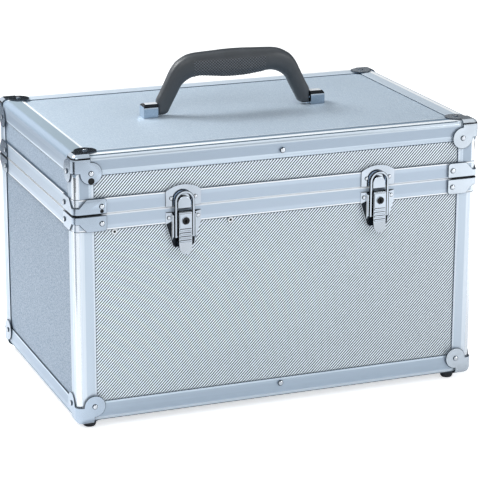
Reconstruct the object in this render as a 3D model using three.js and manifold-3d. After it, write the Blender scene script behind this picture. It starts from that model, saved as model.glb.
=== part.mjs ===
// Aluminium carry case: a deep body and a shallow hinged lid of laminated panels, held in riveted
// aluminium edge profiles, with tongue and groove rims, two lockable draw latches, a piano hinge,
// folding lid stays, a swinging moulded handle, corner caps and rubber feet.
// Millimetres. +X is to the right along the front, +Y to the back and +Z up. The origin is on the
// floor, under the middle of the case.
import * as THREE from "three";
import { mergeVertices } from "three/addons/utils/BufferGeometryUtils.js";
import { RoundedBoxGeometry } from "three/addons/geometries/RoundedBoxGeometry.js";
import Module from "manifold-3d";

const wasm = await Module();
wasm.setup();

// Driving dimensions of the shell
const caseWidth = 420;
const caseDepth = 262;
const bodyHeight = 208;
const lidHeight = 58;
const cornerRadius = 6;
const panelThickness = 5;

// Clearances
const film = 0.05; // between hardware and the face that it is riveted to
const runningGap = 0.3; // between parts that turn or slide on each other
const mitreGap = 0.4; // along the post, between it and the rails that it meets
const partingGap = 0.4; // between the closed lid's rim and the body's
const overrun = 2; // how far a cut runs past what it cuts

// Edge profile: an outer flange on each face, an inner angle and a slot for each panel
const flangeWidth = 20.5;
const flangeThickness = 1.6;
const lipWidth = 4.5;
const lipDrop = 0.9;
const innerAngleWidth = 15;
const innerAngleThickness = 1.2;

// Rims: a tongue on the body fits a groove in the lid
const rimHeight = 16;
const rimInnerHeight = 12;
const rimWeb = 2;
const rimRebateHeight = 0.8;
const rimRebateDepth = 0.5;
const tongueThickness = 1.6;
const tongueHeight = 3;
const tongueClearance = 0.6;

// Rivets
const rivetRadius = 2.7;
const rivetHeight = 1.3;
const rivetSink = 0.3;
const lowRivetUp = 15.5; // the middle rivet of the bottom rail, above the frame's underside
const highRivetDown = 12; // the middle rivet of the top rail, below the frame's top

// Corner caps and the braces beside the parting line
const capThickness = 1.2;
const capLeg = 17;
const capLobeCentre = 17;
const capLobeRadius = 11;
const capFold = 8;
const capInsideRadius = 5.2;
const braceThickness = 1.2;
const braceReach = 32;
const braceChamferStart = 12;
const braceChamferEnd = 4.6;
const braceLowHeight = 8;
const braceEndRadius = 3;
const braceRivetAcross = 27;
const braceRivetUp = 8.4;

// Feet
const footHeight = 7.8;
const footRadius = 6.9;
const footRestRadius = 4.4;

// Handle
const gripHalfWidth = 82.4;
const gripTop = 63.2;
const gripUnderside = 36; // at mid length
const gripThickness = 22;
const legThickness = 11.6;
const handlePivotUp = 7;
const legEndRadius = 5.8;
const handlePinRadius = 2.5;
const handlePinReach = 9;
const bracketLength = 15;
const bracketDepth = 14;
const bracketHeight = 14;
const bracketTopRadius = 5;
const bracketEndRadius = 3.5;

// Latches: distances up from the parting line, and out from the front of the frame
const latchSpacing = 203;
const latchHalfWidth = 17.75;
const latchPlate = 1.2;
const strikeBottom = 0.8;
const strikeShoulder = 16;
const strikeApex = 21.8;
const strikeRivetAcross = 12.2;
const strikeRivetUp = 9;
const catchHalfWidth = 6.75;
const catchTop = 11;
const catchBottom = -1.1;
const catchOut = 5;
const baseTop = -4.6;
const baseWaist = -16;
const baseBottom = -39.7;
const baseFootHalfWidth = 11;
const baseFootChamfer = 2;
const baseRivetAcross = 14.6;
const baseRivetDown = -10;
const latchRivetRadius = 2.1;
const leverTop = -2.8;
const leverTip = -45.2;
const leverHalfWidth = 6.5;
const leverWall = 1.2;
const leverKnuckle = 2.8;
const leverPivotOut = 4.4;
const leverSwing = 115; // degrees that the open lever turns
const leverTipOut = 9.6;
const leverTipThickness = 1.5;
const latchPinRadius = 1;
const earThickness = 1.2;
const earGap = 7.6;
const earFoot = 5;
const bailArm = 2.75;
const bailGap = 1;
const bailThickness = 2.6;
const bailPivotDown = -28.5;
const bailTop = 16.5;
const cheekHeight = 4.6;
const cheekChamfer = 1.2;
const lockDown = -12.5;
const lockPadBottom = -19.8;
const lockPadInset = 0.6;
const lockPadHeight = 0.7;
const lockHeadRadius = 4.1;
const lockHeadThickness = 0.8;
const lockShankRadius = 3.4;
const lockShankLength = 4;
const keyholeRadius = 1.5;
const keySlotWidth = 1.4;
const keySlotLength = 3.2;
const keyholeDepth = 2.5;
const gripRibHeight = 0.7;
const gripRibWidth = 1.5;
const gripRibs = 4;
const thumbTop = -34.7;

// Hinge
const hingeOut = 3;
const knuckleRadius = 2.6;
const knuckleBore = 1.5;
const hingePinRadius = 1.2;
const leafThickness = 1.2;
const leafHeight = 14;
const hingeEndSpace = 36;
const knucklePitch = 31;

// Lid stays: distances from the hinge line, forwards and up
const stayRadius = 95;
const stayUp = 26;
const stayLink = 89.8;
const stayWidth = 10;
const stayThickness = 1.6;
const stayRivetRadius = 3;
const stayHeadRadius = 4.2;
const stayHeadThickness = 1;
const stayWallGap = 0.5;

// Numbers of facets
const cornerSteps = 3;
const rivetSteps = 8;
const roundSteps = 16;
const archSteps = 10;
const gripSectionSteps = 12;
const gripStations = 16;
const coplanar = 1e-4; // vertices closer than this are one

// Shapes, as shares of the sizes that they follow
const domeShares = [[1, 0.25], [0.72, 0.75]]; // a rivet's radius and height
const footShares = [[0.83, 0.12], [0.96, 0.42], [1, 1]]; // a foot's radius and height
const outerEdgeShares = [ // the grip's half width and top, from a leg's end to the middle
  [1, 0.02], [1, 0.14], [1, 0.26], [0.95, 0.385], [0.885, 0.555], [0.82, 0.72], [0.757, 0.83],
  [0.69, 0.895], [0.61, 0.945], [0.52, 0.97], [0.4, 0.98], [0.26, 0.988], [0.13, 0.997], [0, 1],
];
const innerEdgeShares = [ // the grip's half width and underside, from a leg's end to the middle
  [0.925, 0.035], [0.86, 0.105], [0.825, 0.246], [0.775, 0.456], [0.73, 0.65], [0.695, 0.808],
  [0.65, 0.913], [0.59, 1], [0.53, 1.053], [0.46, 1.08], [0.37, 1.066], [0.25, 1.036], [0.13, 1.008],
  [0, 1],
];
const gripSwellShares = [0.1, 0.9]; // where the grip's thickness starts and ends its change
const gripSquareness = 2.6;

// Sizes that follow
const shellHeight = bodyHeight + lidHeight;
const panelBack = flangeThickness + panelThickness;
const slotFloor = panelBack + innerAngleThickness;
const frameBottom = footHeight + film + capThickness + film;
const partingZ = frameBottom + bodyHeight;
const frameTop = frameBottom + shellHeight;
const panelTopZ = frameTop - flangeThickness;
const halfWidth = caseWidth / 2;
const halfDepth = caseDepth / 2;
const grooveFloor = tongueHeight + tongueClearance;
const lidWebTop = grooveFloor + rimWeb;
const tongueInset = flangeThickness + (panelThickness - tongueThickness) / 2;
const leverPivotUp = leverTop - leverKnuckle;
const hingeLength = caseWidth - 2 * hingeEndSpace;
const caseShift = (leverTipOut - hingeOut - knuckleRadius) / 2;
const radians = Math.PI / 180;

// Finishes
function finish(color, roughness, metalness) {
  return new THREE.MeshStandardMaterial({ color, roughness, metalness });
}
const finishes = {
  frame: finish("#c3d1e0", 0.35, 0.9),
  panel: finish("#b4c3d1", 0.45, 0.8),
  cap: finish("#bccbda", 0.3, 0.9),
  chrome: finish("#d9dee4", 0.12, 1),
  steel: finish("#aab2bb", 0.35, 0.9),
  rubber: finish("#2b2f36", 0.8, 0),
  grip: finish("#474d57", 0.55, 0),
};

// Closed geometry as a solid that can be joined and cut
function solidOf(geometry, turned = false) {
  const loose = geometry.index ? geometry.toNonIndexed() : geometry.clone();
  const bare = new THREE.BufferGeometry().setAttribute("position", loose.getAttribute("position"));
  const merged = mergeVertices(bare, coplanar);
  const corners = merged.index.array;
  const triangles = [];
  for (let i = 0; i < corners.length; i += 3) {
    const [a, b, c] = corners.subarray(i, i + 3);
    if (a === b || b === c || c === a) continue;
    triangles.push(...(turned ? [a, c, b] : [a, b, c]));
  }
  const vertProperties = merged.getAttribute("position").array;
  const mesh = new wasm.Mesh({ numProp: 3, vertProperties, triVerts: new Uint32Array(triangles) });
  return new wasm.Manifold(mesh);
}

// A solid as geometry with flat faces
function geometryOf(solid) {
  const { vertProperties, triVerts } = solid.getMesh();
  const shared = new THREE.BufferGeometry();
  shared.setAttribute("position", new THREE.BufferAttribute(vertProperties, 3));
  shared.setIndex(new THREE.BufferAttribute(triVerts, 1));
  const flat = shared.toNonIndexed();
  flat.computeVertexNormals();
  return flat;
}

function joined(...solids) {
  return solids.reduce((all, one) => all.add(one));
}

// A copy of a solid mirrored in the axes whose sign is -1
function mirrored(solid, signX, signY, signZ) {
  const geometry = geometryOf(solid);
  geometry.scale(signX, signY, signZ);
  return solidOf(geometry, signX * signY * signZ < 0);
}

// Points of an arc, with angles in degrees from the first axis towards the second
function arc([a, b], radius, from, to, steps) {
  return Array.from({ length: steps + 1 }, (_, i) => {
    const angle = (from + ((to - from) * i) / steps) * radians;
    return [a + radius * Math.cos(angle), b + radius * Math.sin(angle)];
  });
}

function circle(centre, radius, steps = roundSteps) {
  return arc(centre, radius, 0, 360, steps).slice(1);
}

// The case's outline from above, drawn in by an inset
function planOutline(inset) {
  const radius = cornerRadius - inset;
  const [x, y] = [halfWidth - inset, halfDepth - inset];
  if (radius <= 0) return [[x, -y], [x, y], [-x, y], [-x, -y]];
  return [[1, -1, 270], [1, 1, 0], [-1, 1, 90], [-1, -1, 180]].flatMap(([sx, sy, start]) =>
    arc([sx * (x - radius), sy * (y - radius)], radius, start, start + 90, cornerSteps),
  );
}

// An outline extruded along one axis. Its points give the other two axes, in x, y, z order.
function prism(outline, axis, [from, to], hole = null) {
  const points = (list) => list.map(([a, b]) => new THREE.Vector2(a, b));
  const shape = new THREE.Shape(points(outline));
  if (hole) shape.holes.push(new THREE.Path(points(hole)));
  const geometry = new THREE.ExtrudeGeometry(shape, { depth: 1, bevelEnabled: false });
  const place = geometry.getAttribute("position");
  for (let i = 0; i < place.count; i++) {
    const [a, b, along] = [place.getX(i), place.getY(i), place.getZ(i) > 0 ? to : from];
    if (axis === "x") place.setXYZ(i, along, a, b);
    if (axis === "y") place.setXYZ(i, a, along, b);
    if (axis === "z") place.setXYZ(i, a, b, along);
  }
  return solidOf(geometry, axis === "y");
}

function block([x0, x1], [y0, y1], [z0, z1]) {
  return prism([[x0, y0], [x1, y0], [x1, y1], [x0, y1]], "z", [z0, z1]);
}

// A profile of radii and heights turned round an axis that starts at a place
function revolved(profile, steps, place, direction) {
  const geometry = new THREE.LatheGeometry(profile.map(([r, h]) => new THREE.Vector2(r, h)), steps);
  const up = new THREE.Vector3(0, 1, 0);
  const turn = new THREE.Quaternion().setFromUnitVectors(up, new THREE.Vector3(...direction));
  geometry.applyQuaternion(turn);
  geometry.translate(...place);
  return solidOf(geometry);
}

function rivetHead(place, direction, radius = rivetRadius, height = rivetHeight) {
  const dome = domeShares.map(([across, up]) => [radius * across, height * up]);
  const profile = [[0, -rivetSink], [radius, -rivetSink], ...dome, [0, height]];
  return revolved(profile, rivetSteps, place, direction);
}

const scene = new THREE.Group();
const body = new THREE.Group();
const lid = new THREE.Group();
scene.add(body, lid);

function addPiece(group, name, solid, material, position = [0, 0, 0]) {
  const mesh = new THREE.Mesh(geometryOf(solid), material);
  mesh.name = name;
  mesh.position.set(...position);
  group.add(mesh);
}

// Edge profile in depths from the two outer faces
function edgeProfile() {
  const [f, t, b, s, i] = [flangeWidth, flangeThickness, panelBack, slotFloor, innerAngleWidth];
  const half = [[f - lipWidth, 0], [f, lipDrop], [f, t], [s, t], [s, b], [i, b], [i, s]];
  const other = half.map(([p, q]) => [q, p]).reverse();
  const nose = arc([cornerRadius, cornerRadius], cornerRadius, 180, 270, cornerSteps);
  return [...nose, ...half, [s, s], ...other];
}

// The profile with its depths turned into places
function edgeOutline(first, second) {
  return edgeProfile().map(([p, q]) => [first(p), second(q)]);
}

// Four rails round the bottom or the top. The map turns a depth from that face into a height.
function edgeRing(heightAt) {
  const rails = [-1, 1].flatMap((side) => [
    prism(edgeOutline((p) => side * (halfDepth - p), heightAt), "x", [-halfWidth, halfWidth]),
    prism(edgeOutline((p) => side * (halfWidth - p), heightAt), "y", [-halfDepth, halfDepth]),
  ]);
  return joined(...rails);
}

// The whole frame's outside with its corners rounded a little less than the profiles are
function shellHull() {
  const size = [caseWidth, caseDepth, shellHeight];
  const geometry = new RoundedBoxGeometry(...size, cornerSteps - 1, (cornerRadius + capInsideRadius) / 2);
  return solidOf(geometry.translate(0, 0, frameBottom + shellHeight / 2));
}

function cornerPost(sideX, sideY, span) {
  const outline = edgeOutline((p) => sideX * (halfWidth - p), (q) => sideY * (halfDepth - q));
  return prism(outline, "z", span);
}

// The space of a post at a bottom corner, above the mitres where the three edges meet
function mitreSpace(sideX, sideY, lift) {
  const far = flangeWidth + overrun;
  const heightOver = (depth) => frameBottom + depth + lift;
  const above = (place) => [
    [place(-overrun), heightOver(-overrun)],
    [place(far), heightOver(far)],
    [place(far), partingZ],
    [place(-overrun), partingZ],
  ];
  const atX = (depth) => sideX * (halfWidth - depth);
  const atY = (depth) => sideY * (halfDepth - depth);
  const spanX = [atX(-overrun), atX(far)].sort((a, b) => a - b);
  const spanY = [atY(-overrun), atY(far)].sort((a, b) => a - b);
  return prism(above(atX), "y", spanY).intersect(prism(above(atY), "x", spanX));
}

const corners = [
  ["front_left", -1, -1],
  ["front_right", 1, -1],
  ["back_left", -1, 1],
  ["back_right", 1, 1],
];

function addFrames() {
  const hull = shellHull();
  const spaces = corners.map(([, sx, sy]) => mitreSpace(sx, sy, 0));
  const uncut = edgeRing((q) => frameBottom + q).intersect(hull);
  const bottom = spaces.reduce((rails, space) => rails.subtract(space), uncut);
  const lowRivet = rivetHead([0, -halfDepth, frameBottom + lowRivetUp], [0, -1, 0]);
  addPiece(body, "bottom_rails", bottom.add(lowRivet), finishes.frame);
  for (const [name, sx, sy] of corners) {
    const post = cornerPost(sx, sy, [frameBottom, partingZ - rimHeight]).intersect(hull);
    const mitred = post.intersect(mitreSpace(sx, sy, mitreGap));
    addPiece(body, `body_post_${name}`, mitred, finishes.frame);
  }
  const posts = corners.map(([, sx, sy]) => cornerPost(sx, sy, [partingZ + rimHeight, frameTop]));
  const top = joined(edgeRing((q) => frameTop - q), ...posts).intersect(hull);
  const highRivet = rivetHead([0, -halfDepth, frameTop - highRivetDown], [0, -1, 0]);
  addPiece(lid, "lid_top_rails", top.add(highRivet), finishes.frame);
}

// A ring between two insets of the plan outline
function ring(outer, inner, span) {
  return prism(planOutline(outer), "z", span, planOutline(inner));
}

function addRims() {
  const up = (h) => partingZ + h;
  const keyed = flangeThickness / 2;
  const bodyRim = joined(
    ring(0, flangeThickness, [up(-rimHeight), up(-rimRebateHeight)]),
    ring(rimRebateDepth, slotFloor, [up(-rimWeb), up(0)]),
    ring(panelBack, slotFloor, [up(-rimInnerHeight), up(-rimWeb / 2)]),
    ring(tongueInset, tongueInset + tongueThickness, [up(-rimWeb / 2), up(tongueHeight)]),
  );
  addPiece(body, "body_rim", bodyRim, finishes.frame);
  const lidRim = joined(
    ring(0, flangeThickness, [up(partingGap + rimRebateHeight), up(rimHeight)]),
    ring(rimRebateDepth, flangeThickness, [up(partingGap), up(lidWebTop)]),
    ring(panelBack, slotFloor, [up(partingGap), up(rimInnerHeight)]),
    ring(keyed, slotFloor - innerAngleThickness / 2, [up(grooveFloor), up(lidWebTop)]),
  );
  addPiece(lid, "lid_rim", lidRim, finishes.frame);
}

// Panels lie in the slots of the profiles
function addPanels() {
  const [x, y] = [halfWidth - slotFloor, halfDepth - slotFloor];
  const wall = (side, half) => {
    const faces = [side * (half - panelBack), side * (half - flangeThickness)];
    return faces.sort((a, b) => a - b);
  };
  const walls = (group, prefix, span) => {
    addPiece(group, `${prefix}_front_panel`, block([-x, x], wall(-1, halfDepth), span), finishes.panel);
    addPiece(group, `${prefix}_back_panel`, block([-x, x], wall(1, halfDepth), span), finishes.panel);
    addPiece(group, `${prefix}_left_panel`, block(wall(-1, halfWidth), [-y, y], span), finishes.panel);
    addPiece(group, `${prefix}_right_panel`, block(wall(1, halfWidth), [-y, y], span), finishes.panel);
  };
  walls(body, "body", [frameBottom + slotFloor, partingZ - rimWeb]);
  walls(lid, "lid", [partingZ + lidWebTop, frameTop - slotFloor]);
  const floor = block([-x, x], [-y, y], [frameBottom + flangeThickness, frameBottom + panelBack]);
  addPiece(body, "body_bottom_panel", floor, finishes.panel);
  const roof = block([-x, x], [-y, y], [frameTop - panelBack, panelTopZ]);
  addPiece(lid, "lid_top_panel", roof, finishes.panel);
}

// Corner cap in depths from the three outer faces: a pressed sheet with a round riveted lobe a face
function cornerCap(rivetOnLevelFace) {
  const outside = -(capThickness + film);
  const span = [outside, capFold];
  const square = [[outside, outside], [capLeg, outside], [capLeg, capLeg], [outside, capLeg]];
  const lobe = circle([capLobeCentre, capLobeCentre], capLobeRadius);
  const plates = ["x", "y", "z"].flatMap((axis) => [prism(square, axis, span), prism(lobe, axis, span)]);
  const size = 2 * (capLobeCentre + capLobeRadius);
  const rounded = (corner, radius) => {
    const geometry = new RoundedBoxGeometry(size, size, size, cornerSteps - 1, radius);
    return solidOf(geometry.translate(corner + size / 2, corner + size / 2, corner + size / 2));
  };
  const shell = joined(...plates)
    .intersect(rounded(outside, capInsideRadius + capThickness))
    .subtract(rounded(-film, capInsideRadius));
  const rivets = [
    rivetHead([outside, capLobeCentre, capLobeCentre], [-1, 0, 0]),
    rivetHead([capLobeCentre, outside, capLobeCentre], [0, -1, 0]),
  ];
  if (rivetOnLevelFace) rivets.push(rivetHead([capLobeCentre, capLobeCentre, outside], [0, 0, -1]));
  return joined(shell, ...rivets);
}

function addCaps() {
  const [bottomCap, topCap] = [cornerCap(false), cornerCap(true)];
  for (const [name, sx, sy] of corners) {
    const [x, y] = [sx * halfWidth, sy * halfDepth];
    const [lower, upper] = [mirrored(bottomCap, -sx, -sy, 1), mirrored(topCap, -sx, -sy, -1)];
    addPiece(body, `bottom_cap_${name}`, lower, finishes.cap, [x, y, frameBottom]);
    addPiece(lid, `top_cap_${name}`, upper, finishes.cap, [x, y, frameTop]);
  }
}

// Brace in depths from the two upright faces and distance from the parting line
function cornerBrace(start) {
  const [outside, inside] = [-(braceThickness + film), -film];
  const bend = (corner, radius) => arc([corner + radius, corner + radius], radius, 180, 270, cornerSteps);
  const folded = [
    ...bend(outside, capInsideRadius + braceThickness),
    [braceReach, outside],
    [braceReach, inside],
    ...bend(inside, capInsideRadius).reverse(),
    [inside, braceReach],
    [outside, braceReach],
  ];
  const endCentre = [braceReach - braceEndRadius, rimHeight - braceEndRadius];
  const endArc = arc(endCentre, braceEndRadius, 0, 90, cornerSteps);
  const elevation = [
    [outside - overrun, start],
    [braceReach, start],
    ...endArc,
    [braceChamferStart, rimHeight],
    [braceChamferEnd, braceLowHeight],
    [outside - overrun, braceLowHeight],
  ];
  const reach = [outside - overrun, capFold];
  const faces = prism(elevation, "y", reach).add(prism(elevation, "x", reach));
  return joined(
    prism(folded, "z", [start, rimHeight]).intersect(faces),
    rivetHead([braceRivetAcross, outside, braceRivetUp], [0, -1, 0]),
    rivetHead([outside, braceRivetAcross, braceRivetUp], [-1, 0, 0]),
  );
}

function addBraces() {
  const [lower, upper] = [cornerBrace(rimRebateHeight), cornerBrace(partingGap + rimRebateHeight)];
  for (const [name, sx, sy] of corners) {
    const place = [sx * halfWidth, sy * halfDepth, partingZ];
    addPiece(body, `body_brace_${name}`, mirrored(lower, -sx, -sy, -1), finishes.cap, place);
    addPiece(lid, `lid_brace_${name}`, mirrored(upper, -sx, -sy, 1), finishes.cap, place);
  }
}

function addFeet() {
  const sides = footShares.map(([across, up]) => [footRadius * across, footHeight * up]);
  const profile = [[0, 0], [footRestRadius, 0], ...sides, [0, footHeight]];
  for (const [name, sx, sy] of corners) {
    const place = [sx * (halfWidth - capLobeCentre), sy * (halfDepth - capLobeCentre), 0];
    const foot = revolved(profile, roundSteps, [0, 0, 0], [0, 0, 1]);
    addPiece(body, `foot_${name}`, foot, finishes.rubber, place);
  }
}

// The grip is lofted through sections between its outer and inner edges
function gripSolid() {
  const curve = (shares, height) =>
    new THREE.CatmullRomCurve3(shares.map(([x, z]) => new THREE.Vector3(x * gripHalfWidth, 0, z * height)));
  const [outer, inner] = [curve(outerEdgeShares, gripTop), curve(innerEdgeShares, gripUnderside)];
  const rings = [];
  for (let i = 0; i <= 2 * gripStations; i++) {
    const along = 1 - Math.abs(1 - i / gripStations);
    const [a, b] = [outer.getPoint(along), inner.getPoint(along)];
    const swell = THREE.MathUtils.smoothstep(along, ...gripSwellShares);
    const thickness = THREE.MathUtils.lerp(legThickness, gripThickness, swell);
    rings.push(gripSection(a, b, thickness / 2, i < gripStations ? 1 : -1));
  }
  return loft(rings);
}

// Points of a rounded section that spans two edge points
function gripSection(outer, inner, halfThickness, side) {
  const middle = outer.clone().add(inner).multiplyScalar(0.5);
  const reach = outer.clone().sub(inner).multiplyScalar(0.5);
  return Array.from({ length: gripSectionSteps }, (_, k) => {
    const angle = (2 * Math.PI * k) / gripSectionSteps;
    const squared = (v) => Math.sign(v) * Math.abs(v) ** (2 / gripSquareness);
    const place = middle.clone().addScaledVector(reach, squared(Math.cos(angle)));
    return [side * place.x, halfThickness * squared(Math.sin(angle)), place.z];
  });
}

// A closed skin over rings of points, with a flat fan on each end
function loft(rings) {
  const count = rings[0].length;
  const middle = (points) => [0, 1, 2].map((axis) => points.reduce((sum, p) => sum + p[axis], 0) / count);
  const places = [...rings.flat(), middle(rings[0]), middle(rings.at(-1))];
  const [first, last] = [places.length - 2, places.length - 1];
  const triangles = [];
  for (let k = 0; k < count; k++) {
    const next = (k + 1) % count;
    for (let i = 0; i + 1 < rings.length; i++) {
      const [low, high] = [i * count, (i + 1) * count];
      triangles.push(low + k, high + next, high + k, low + k, low + next, high + next);
    }
    const top = (rings.length - 1) * count;
    triangles.push(first, next, k, last, top + k, top + next);
  }
  const geometry = new THREE.BufferGeometry().setIndex(triangles);
  geometry.setAttribute("position", new THREE.Float32BufferAttribute(places.flat(), 3));
  return solidOf(geometry);
}

function addHandle() {
  const across = [-gripHalfWidth - overrun, gripHalfWidth + overrun];
  const pivot = [0, handlePivotUp];
  const rounds = prism(circle(pivot, legEndRadius, 2 * roundSteps), "x", across);
  const above = block(across, [-gripThickness, gripThickness], [handlePivotUp, gripTop + overrun]);
  let grip = gripSolid().intersect(rounds.add(above));
  const bore = (side) => {
    const span = [gripHalfWidth - handlePinReach - runningGap, gripHalfWidth + overrun];
    const hole = prism(circle(pivot, handlePinRadius + runningGap), "x", span);
    return side > 0 ? hole : mirrored(hole, -1, 1, 1);
  };
  grip = grip.subtract(bore(-1)).subtract(bore(1));
  addPiece(lid, "handle_grip", grip, finishes.grip, [0, 0, panelTopZ]);
  for (const [name, side] of [["left", -1], ["right", 1]]) {
    const place = [side * (gripHalfWidth + runningGap), 0, panelTopZ + film];
    addPiece(lid, `handle_bracket_${name}`, mirrored(handleBracket(), side, 1, 1), finishes.chrome, place);
  }
}

// Bracket with its inner face at x = 0 and its pin into the leg
function handleBracket() {
  const [y, r] = [bracketDepth / 2, bracketTopRadius];
  const crown = (at, radius, from) => arc([at, bracketHeight - radius], radius, from, from + 90, cornerSteps);
  const end = [[-y, 0], [y, 0], ...crown(y - r, r, 0), ...crown(r - y, r, 90)];
  const endCrown = crown(bracketLength - bracketEndRadius, bracketEndRadius, 0);
  const side = [[0, 0], [bracketLength, 0], ...endCrown, [0, bracketHeight]];
  const pin = prism(circle([0, handlePivotUp - film], handlePinRadius), "x", [-handlePinReach, overrun]);
  return joined(prism(end, "x", [0, bracketLength]).intersect(prism(side, "y", [-y, y])), pin);
}

// Latch pieces lie in their own frame: x across, y to the back from the frame's front face, and z up
// from the parting line
const out = (distance) => -distance;
const bothSides = (list) => [...list, ...list.map(([x, z]) => [-x, z]).reverse()];

function latchStrike() {
  const rise = strikeApex - strikeShoulder;
  const radius = (latchHalfWidth ** 2 + rise ** 2) / (2 * rise);
  const spread = Math.asin(latchHalfWidth / radius) / radians;
  const crown = arc([0, strikeApex - radius], radius, 90 - spread, 90 + spread, archSteps);
  const face = [[-latchHalfWidth, strikeBottom], [latchHalfWidth, strikeBottom], ...crown];
  const boss = [
    [-catchHalfWidth, catchBottom],
    [catchHalfWidth, catchBottom],
    ...arc([0, catchTop - catchHalfWidth], catchHalfWidth, 0, 180, archSteps),
  ];
  const back = out(film + latchPlate);
  return joined(
    prism(face, "y", [back, out(film)]),
    prism(boss, "y", [out(catchOut), out(film + latchPlate / 2)]),
    ...[-1, 1].map((side) =>
      rivetHead([side * strikeRivetAcross, back, strikeRivetUp], [0, -1, 0], latchRivetRadius),
    ),
  );
}

function latchBase() {
  const front = out(film + latchPlate);
  const face = bothSides([
    [baseFootHalfWidth - baseFootChamfer, baseBottom],
    [baseFootHalfWidth, baseBottom + baseFootChamfer],
    [latchHalfWidth, baseWaist],
    [latchHalfWidth, baseTop],
  ]);
  const parts = [prism(face, "y", [front, out(film)])];
  const earRadius = leverKnuckle - leverWall - runningGap;
  const past = leverSwing - 90; // the ear's top slopes to let the open lever by
  const nose = arc([out(leverPivotOut), leverPivotUp], earRadius, 90 - past, 270, archSteps / 2);
  const earRun = leverPivotOut + front / 2;
  const earTop = (earRadius - earRun * Math.sin(past * radians)) / Math.cos(past * radians);
  const earBottom = leverPivotUp - earRadius - earFoot;
  const ear = [[front / 2, leverPivotUp + earTop], ...nose, [front / 2, earBottom]];
  const cheekIn = leverHalfWidth + bailGap + bailArm + bailGap / 2;
  const cheek = [
    [front / 2, baseTop - latchPlate],
    [out(cheekHeight), baseTop - latchPlate - cheekChamfer],
    [out(cheekHeight), bailPivotDown],
    [front / 2, bailPivotDown - cheekHeight],
  ];
  for (const side of [-1, 1]) {
    const span = (from, to) => [side * from, side * to].sort((a, b) => a - b);
    parts.push(prism(ear, "x", span(earGap / 2, earGap / 2 + earThickness)));
    parts.push(prism(cheek, "x", span(cheekIn, cheekIn + latchPlate)));
    parts.push(rivetHead([side * baseRivetAcross, front, baseRivetDown], [0, -1, 0], latchRivetRadius));
    const shank = circle([side * baseRivetAcross, baseRivetDown], latchRivetRadius / 2, rivetSteps);
    parts.push(prism(shank, "y", [front / 2, out(0)]));
  }
  const pinSpan = [-leverHalfWidth, leverHalfWidth];
  parts.push(prism(circle([out(leverPivotOut), leverPivotUp], latchPinRadius, archSteps), "x", pinSpan));
  return joined(...parts);
}

// The lever is a folded channel with a locking pad, finger ribs and a flared thumb tab
function latchLever() {
  const [py, pz] = [out(leverPivotOut), leverPivotUp];
  const front = out(leverPivotOut + leverKnuckle);
  const tip = out(leverTipOut);
  const side = [
    ...arc([py, pz], leverKnuckle, 180, 0, archSteps),
    [py + leverKnuckle - runningGap, bailPivotDown - leverKnuckle],
    [front + leverTipThickness, thumbTop],
    [tip + leverTipThickness, leverTip],
    [tip, leverTip],
    [front, thumbTop],
  ];
  const face = [
    ...arc([0, leverTip + leverHalfWidth], leverHalfWidth, 180, 360, archSteps),
    [leverHalfWidth, leverTop],
    [-leverHalfWidth, leverTop],
  ];
  const width = [-leverHalfWidth, leverHalfWidth];
  const depth = [tip - overrun, out(0)];
  const inner = leverHalfWidth - leverWall;
  const hollow = block(
    [-inner, inner],
    [front + leverWall, out(0)],
    [bailPivotDown - leverKnuckle, leverTop + overrun],
  );
  const padHalf = leverHalfWidth - lockPadInset;
  const padDepth = [front - lockPadHeight, front + leverWall / 2];
  const pad = block([-padHalf, padHalf], padDepth, [lockPadBottom, pz]);
  const pitch = (lockPadBottom - thumbTop) / gripRibs;
  const rib = (k) => {
    const z = thumbTop + pitch * (k + 0.5);
    const profile = [
      [front + leverWall / 2, z - gripRibWidth],
      [front - gripRibHeight, z - gripRibWidth / 2],
      [front - gripRibHeight, z + gripRibWidth / 2],
      [front + leverWall / 2, z + gripRibWidth],
    ];
    return prism(profile, "x", [-padHalf, padHalf]);
  };
  const past = [width[0] - overrun, width[1] + overrun];
  const hole = (z) => prism(circle([py, z], latchPinRadius + runningGap, archSteps), "x", past);
  const lockBore = prism(circle([0, lockDown], lockShankRadius + runningGap), "y", depth);
  return joined(prism(side, "x", width), pad, ...Array.from({ length: gripRibs }, (_, k) => rib(k)))
    .intersect(prism(face, "y", depth))
    .subtract(hollow)
    .subtract(hole(pz))
    .subtract(hole(bailPivotDown))
    .subtract(lockBore);
}

function latchBail() {
  const inside = leverHalfWidth + bailGap;
  const outside = inside + bailArm;
  const crown = bailTop - outside;
  const outline = [
    ...arc([0, crown], outside, 0, 180, archSteps),
    [-outside, bailPivotDown - bailThickness / 2],
    [-inside, bailPivotDown - bailThickness / 2],
    ...arc([0, crown], inside, 180, 0, archSteps),
    [inside, bailPivotDown - bailThickness / 2],
    [outside, bailPivotDown - bailThickness / 2],
  ];
  const across = [out(leverPivotOut + bailThickness / 2), out(leverPivotOut - bailThickness / 2)];
  const pin = (side) => {
    const span = [side * (leverHalfWidth - leverWall), side * (inside + bailArm / 2)].sort((a, b) => a - b);
    return prism(circle([out(leverPivotOut), bailPivotDown], latchPinRadius, archSteps), "x", span);
  };
  return joined(prism(outline, "y", across), pin(-1), pin(1));
}

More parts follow.
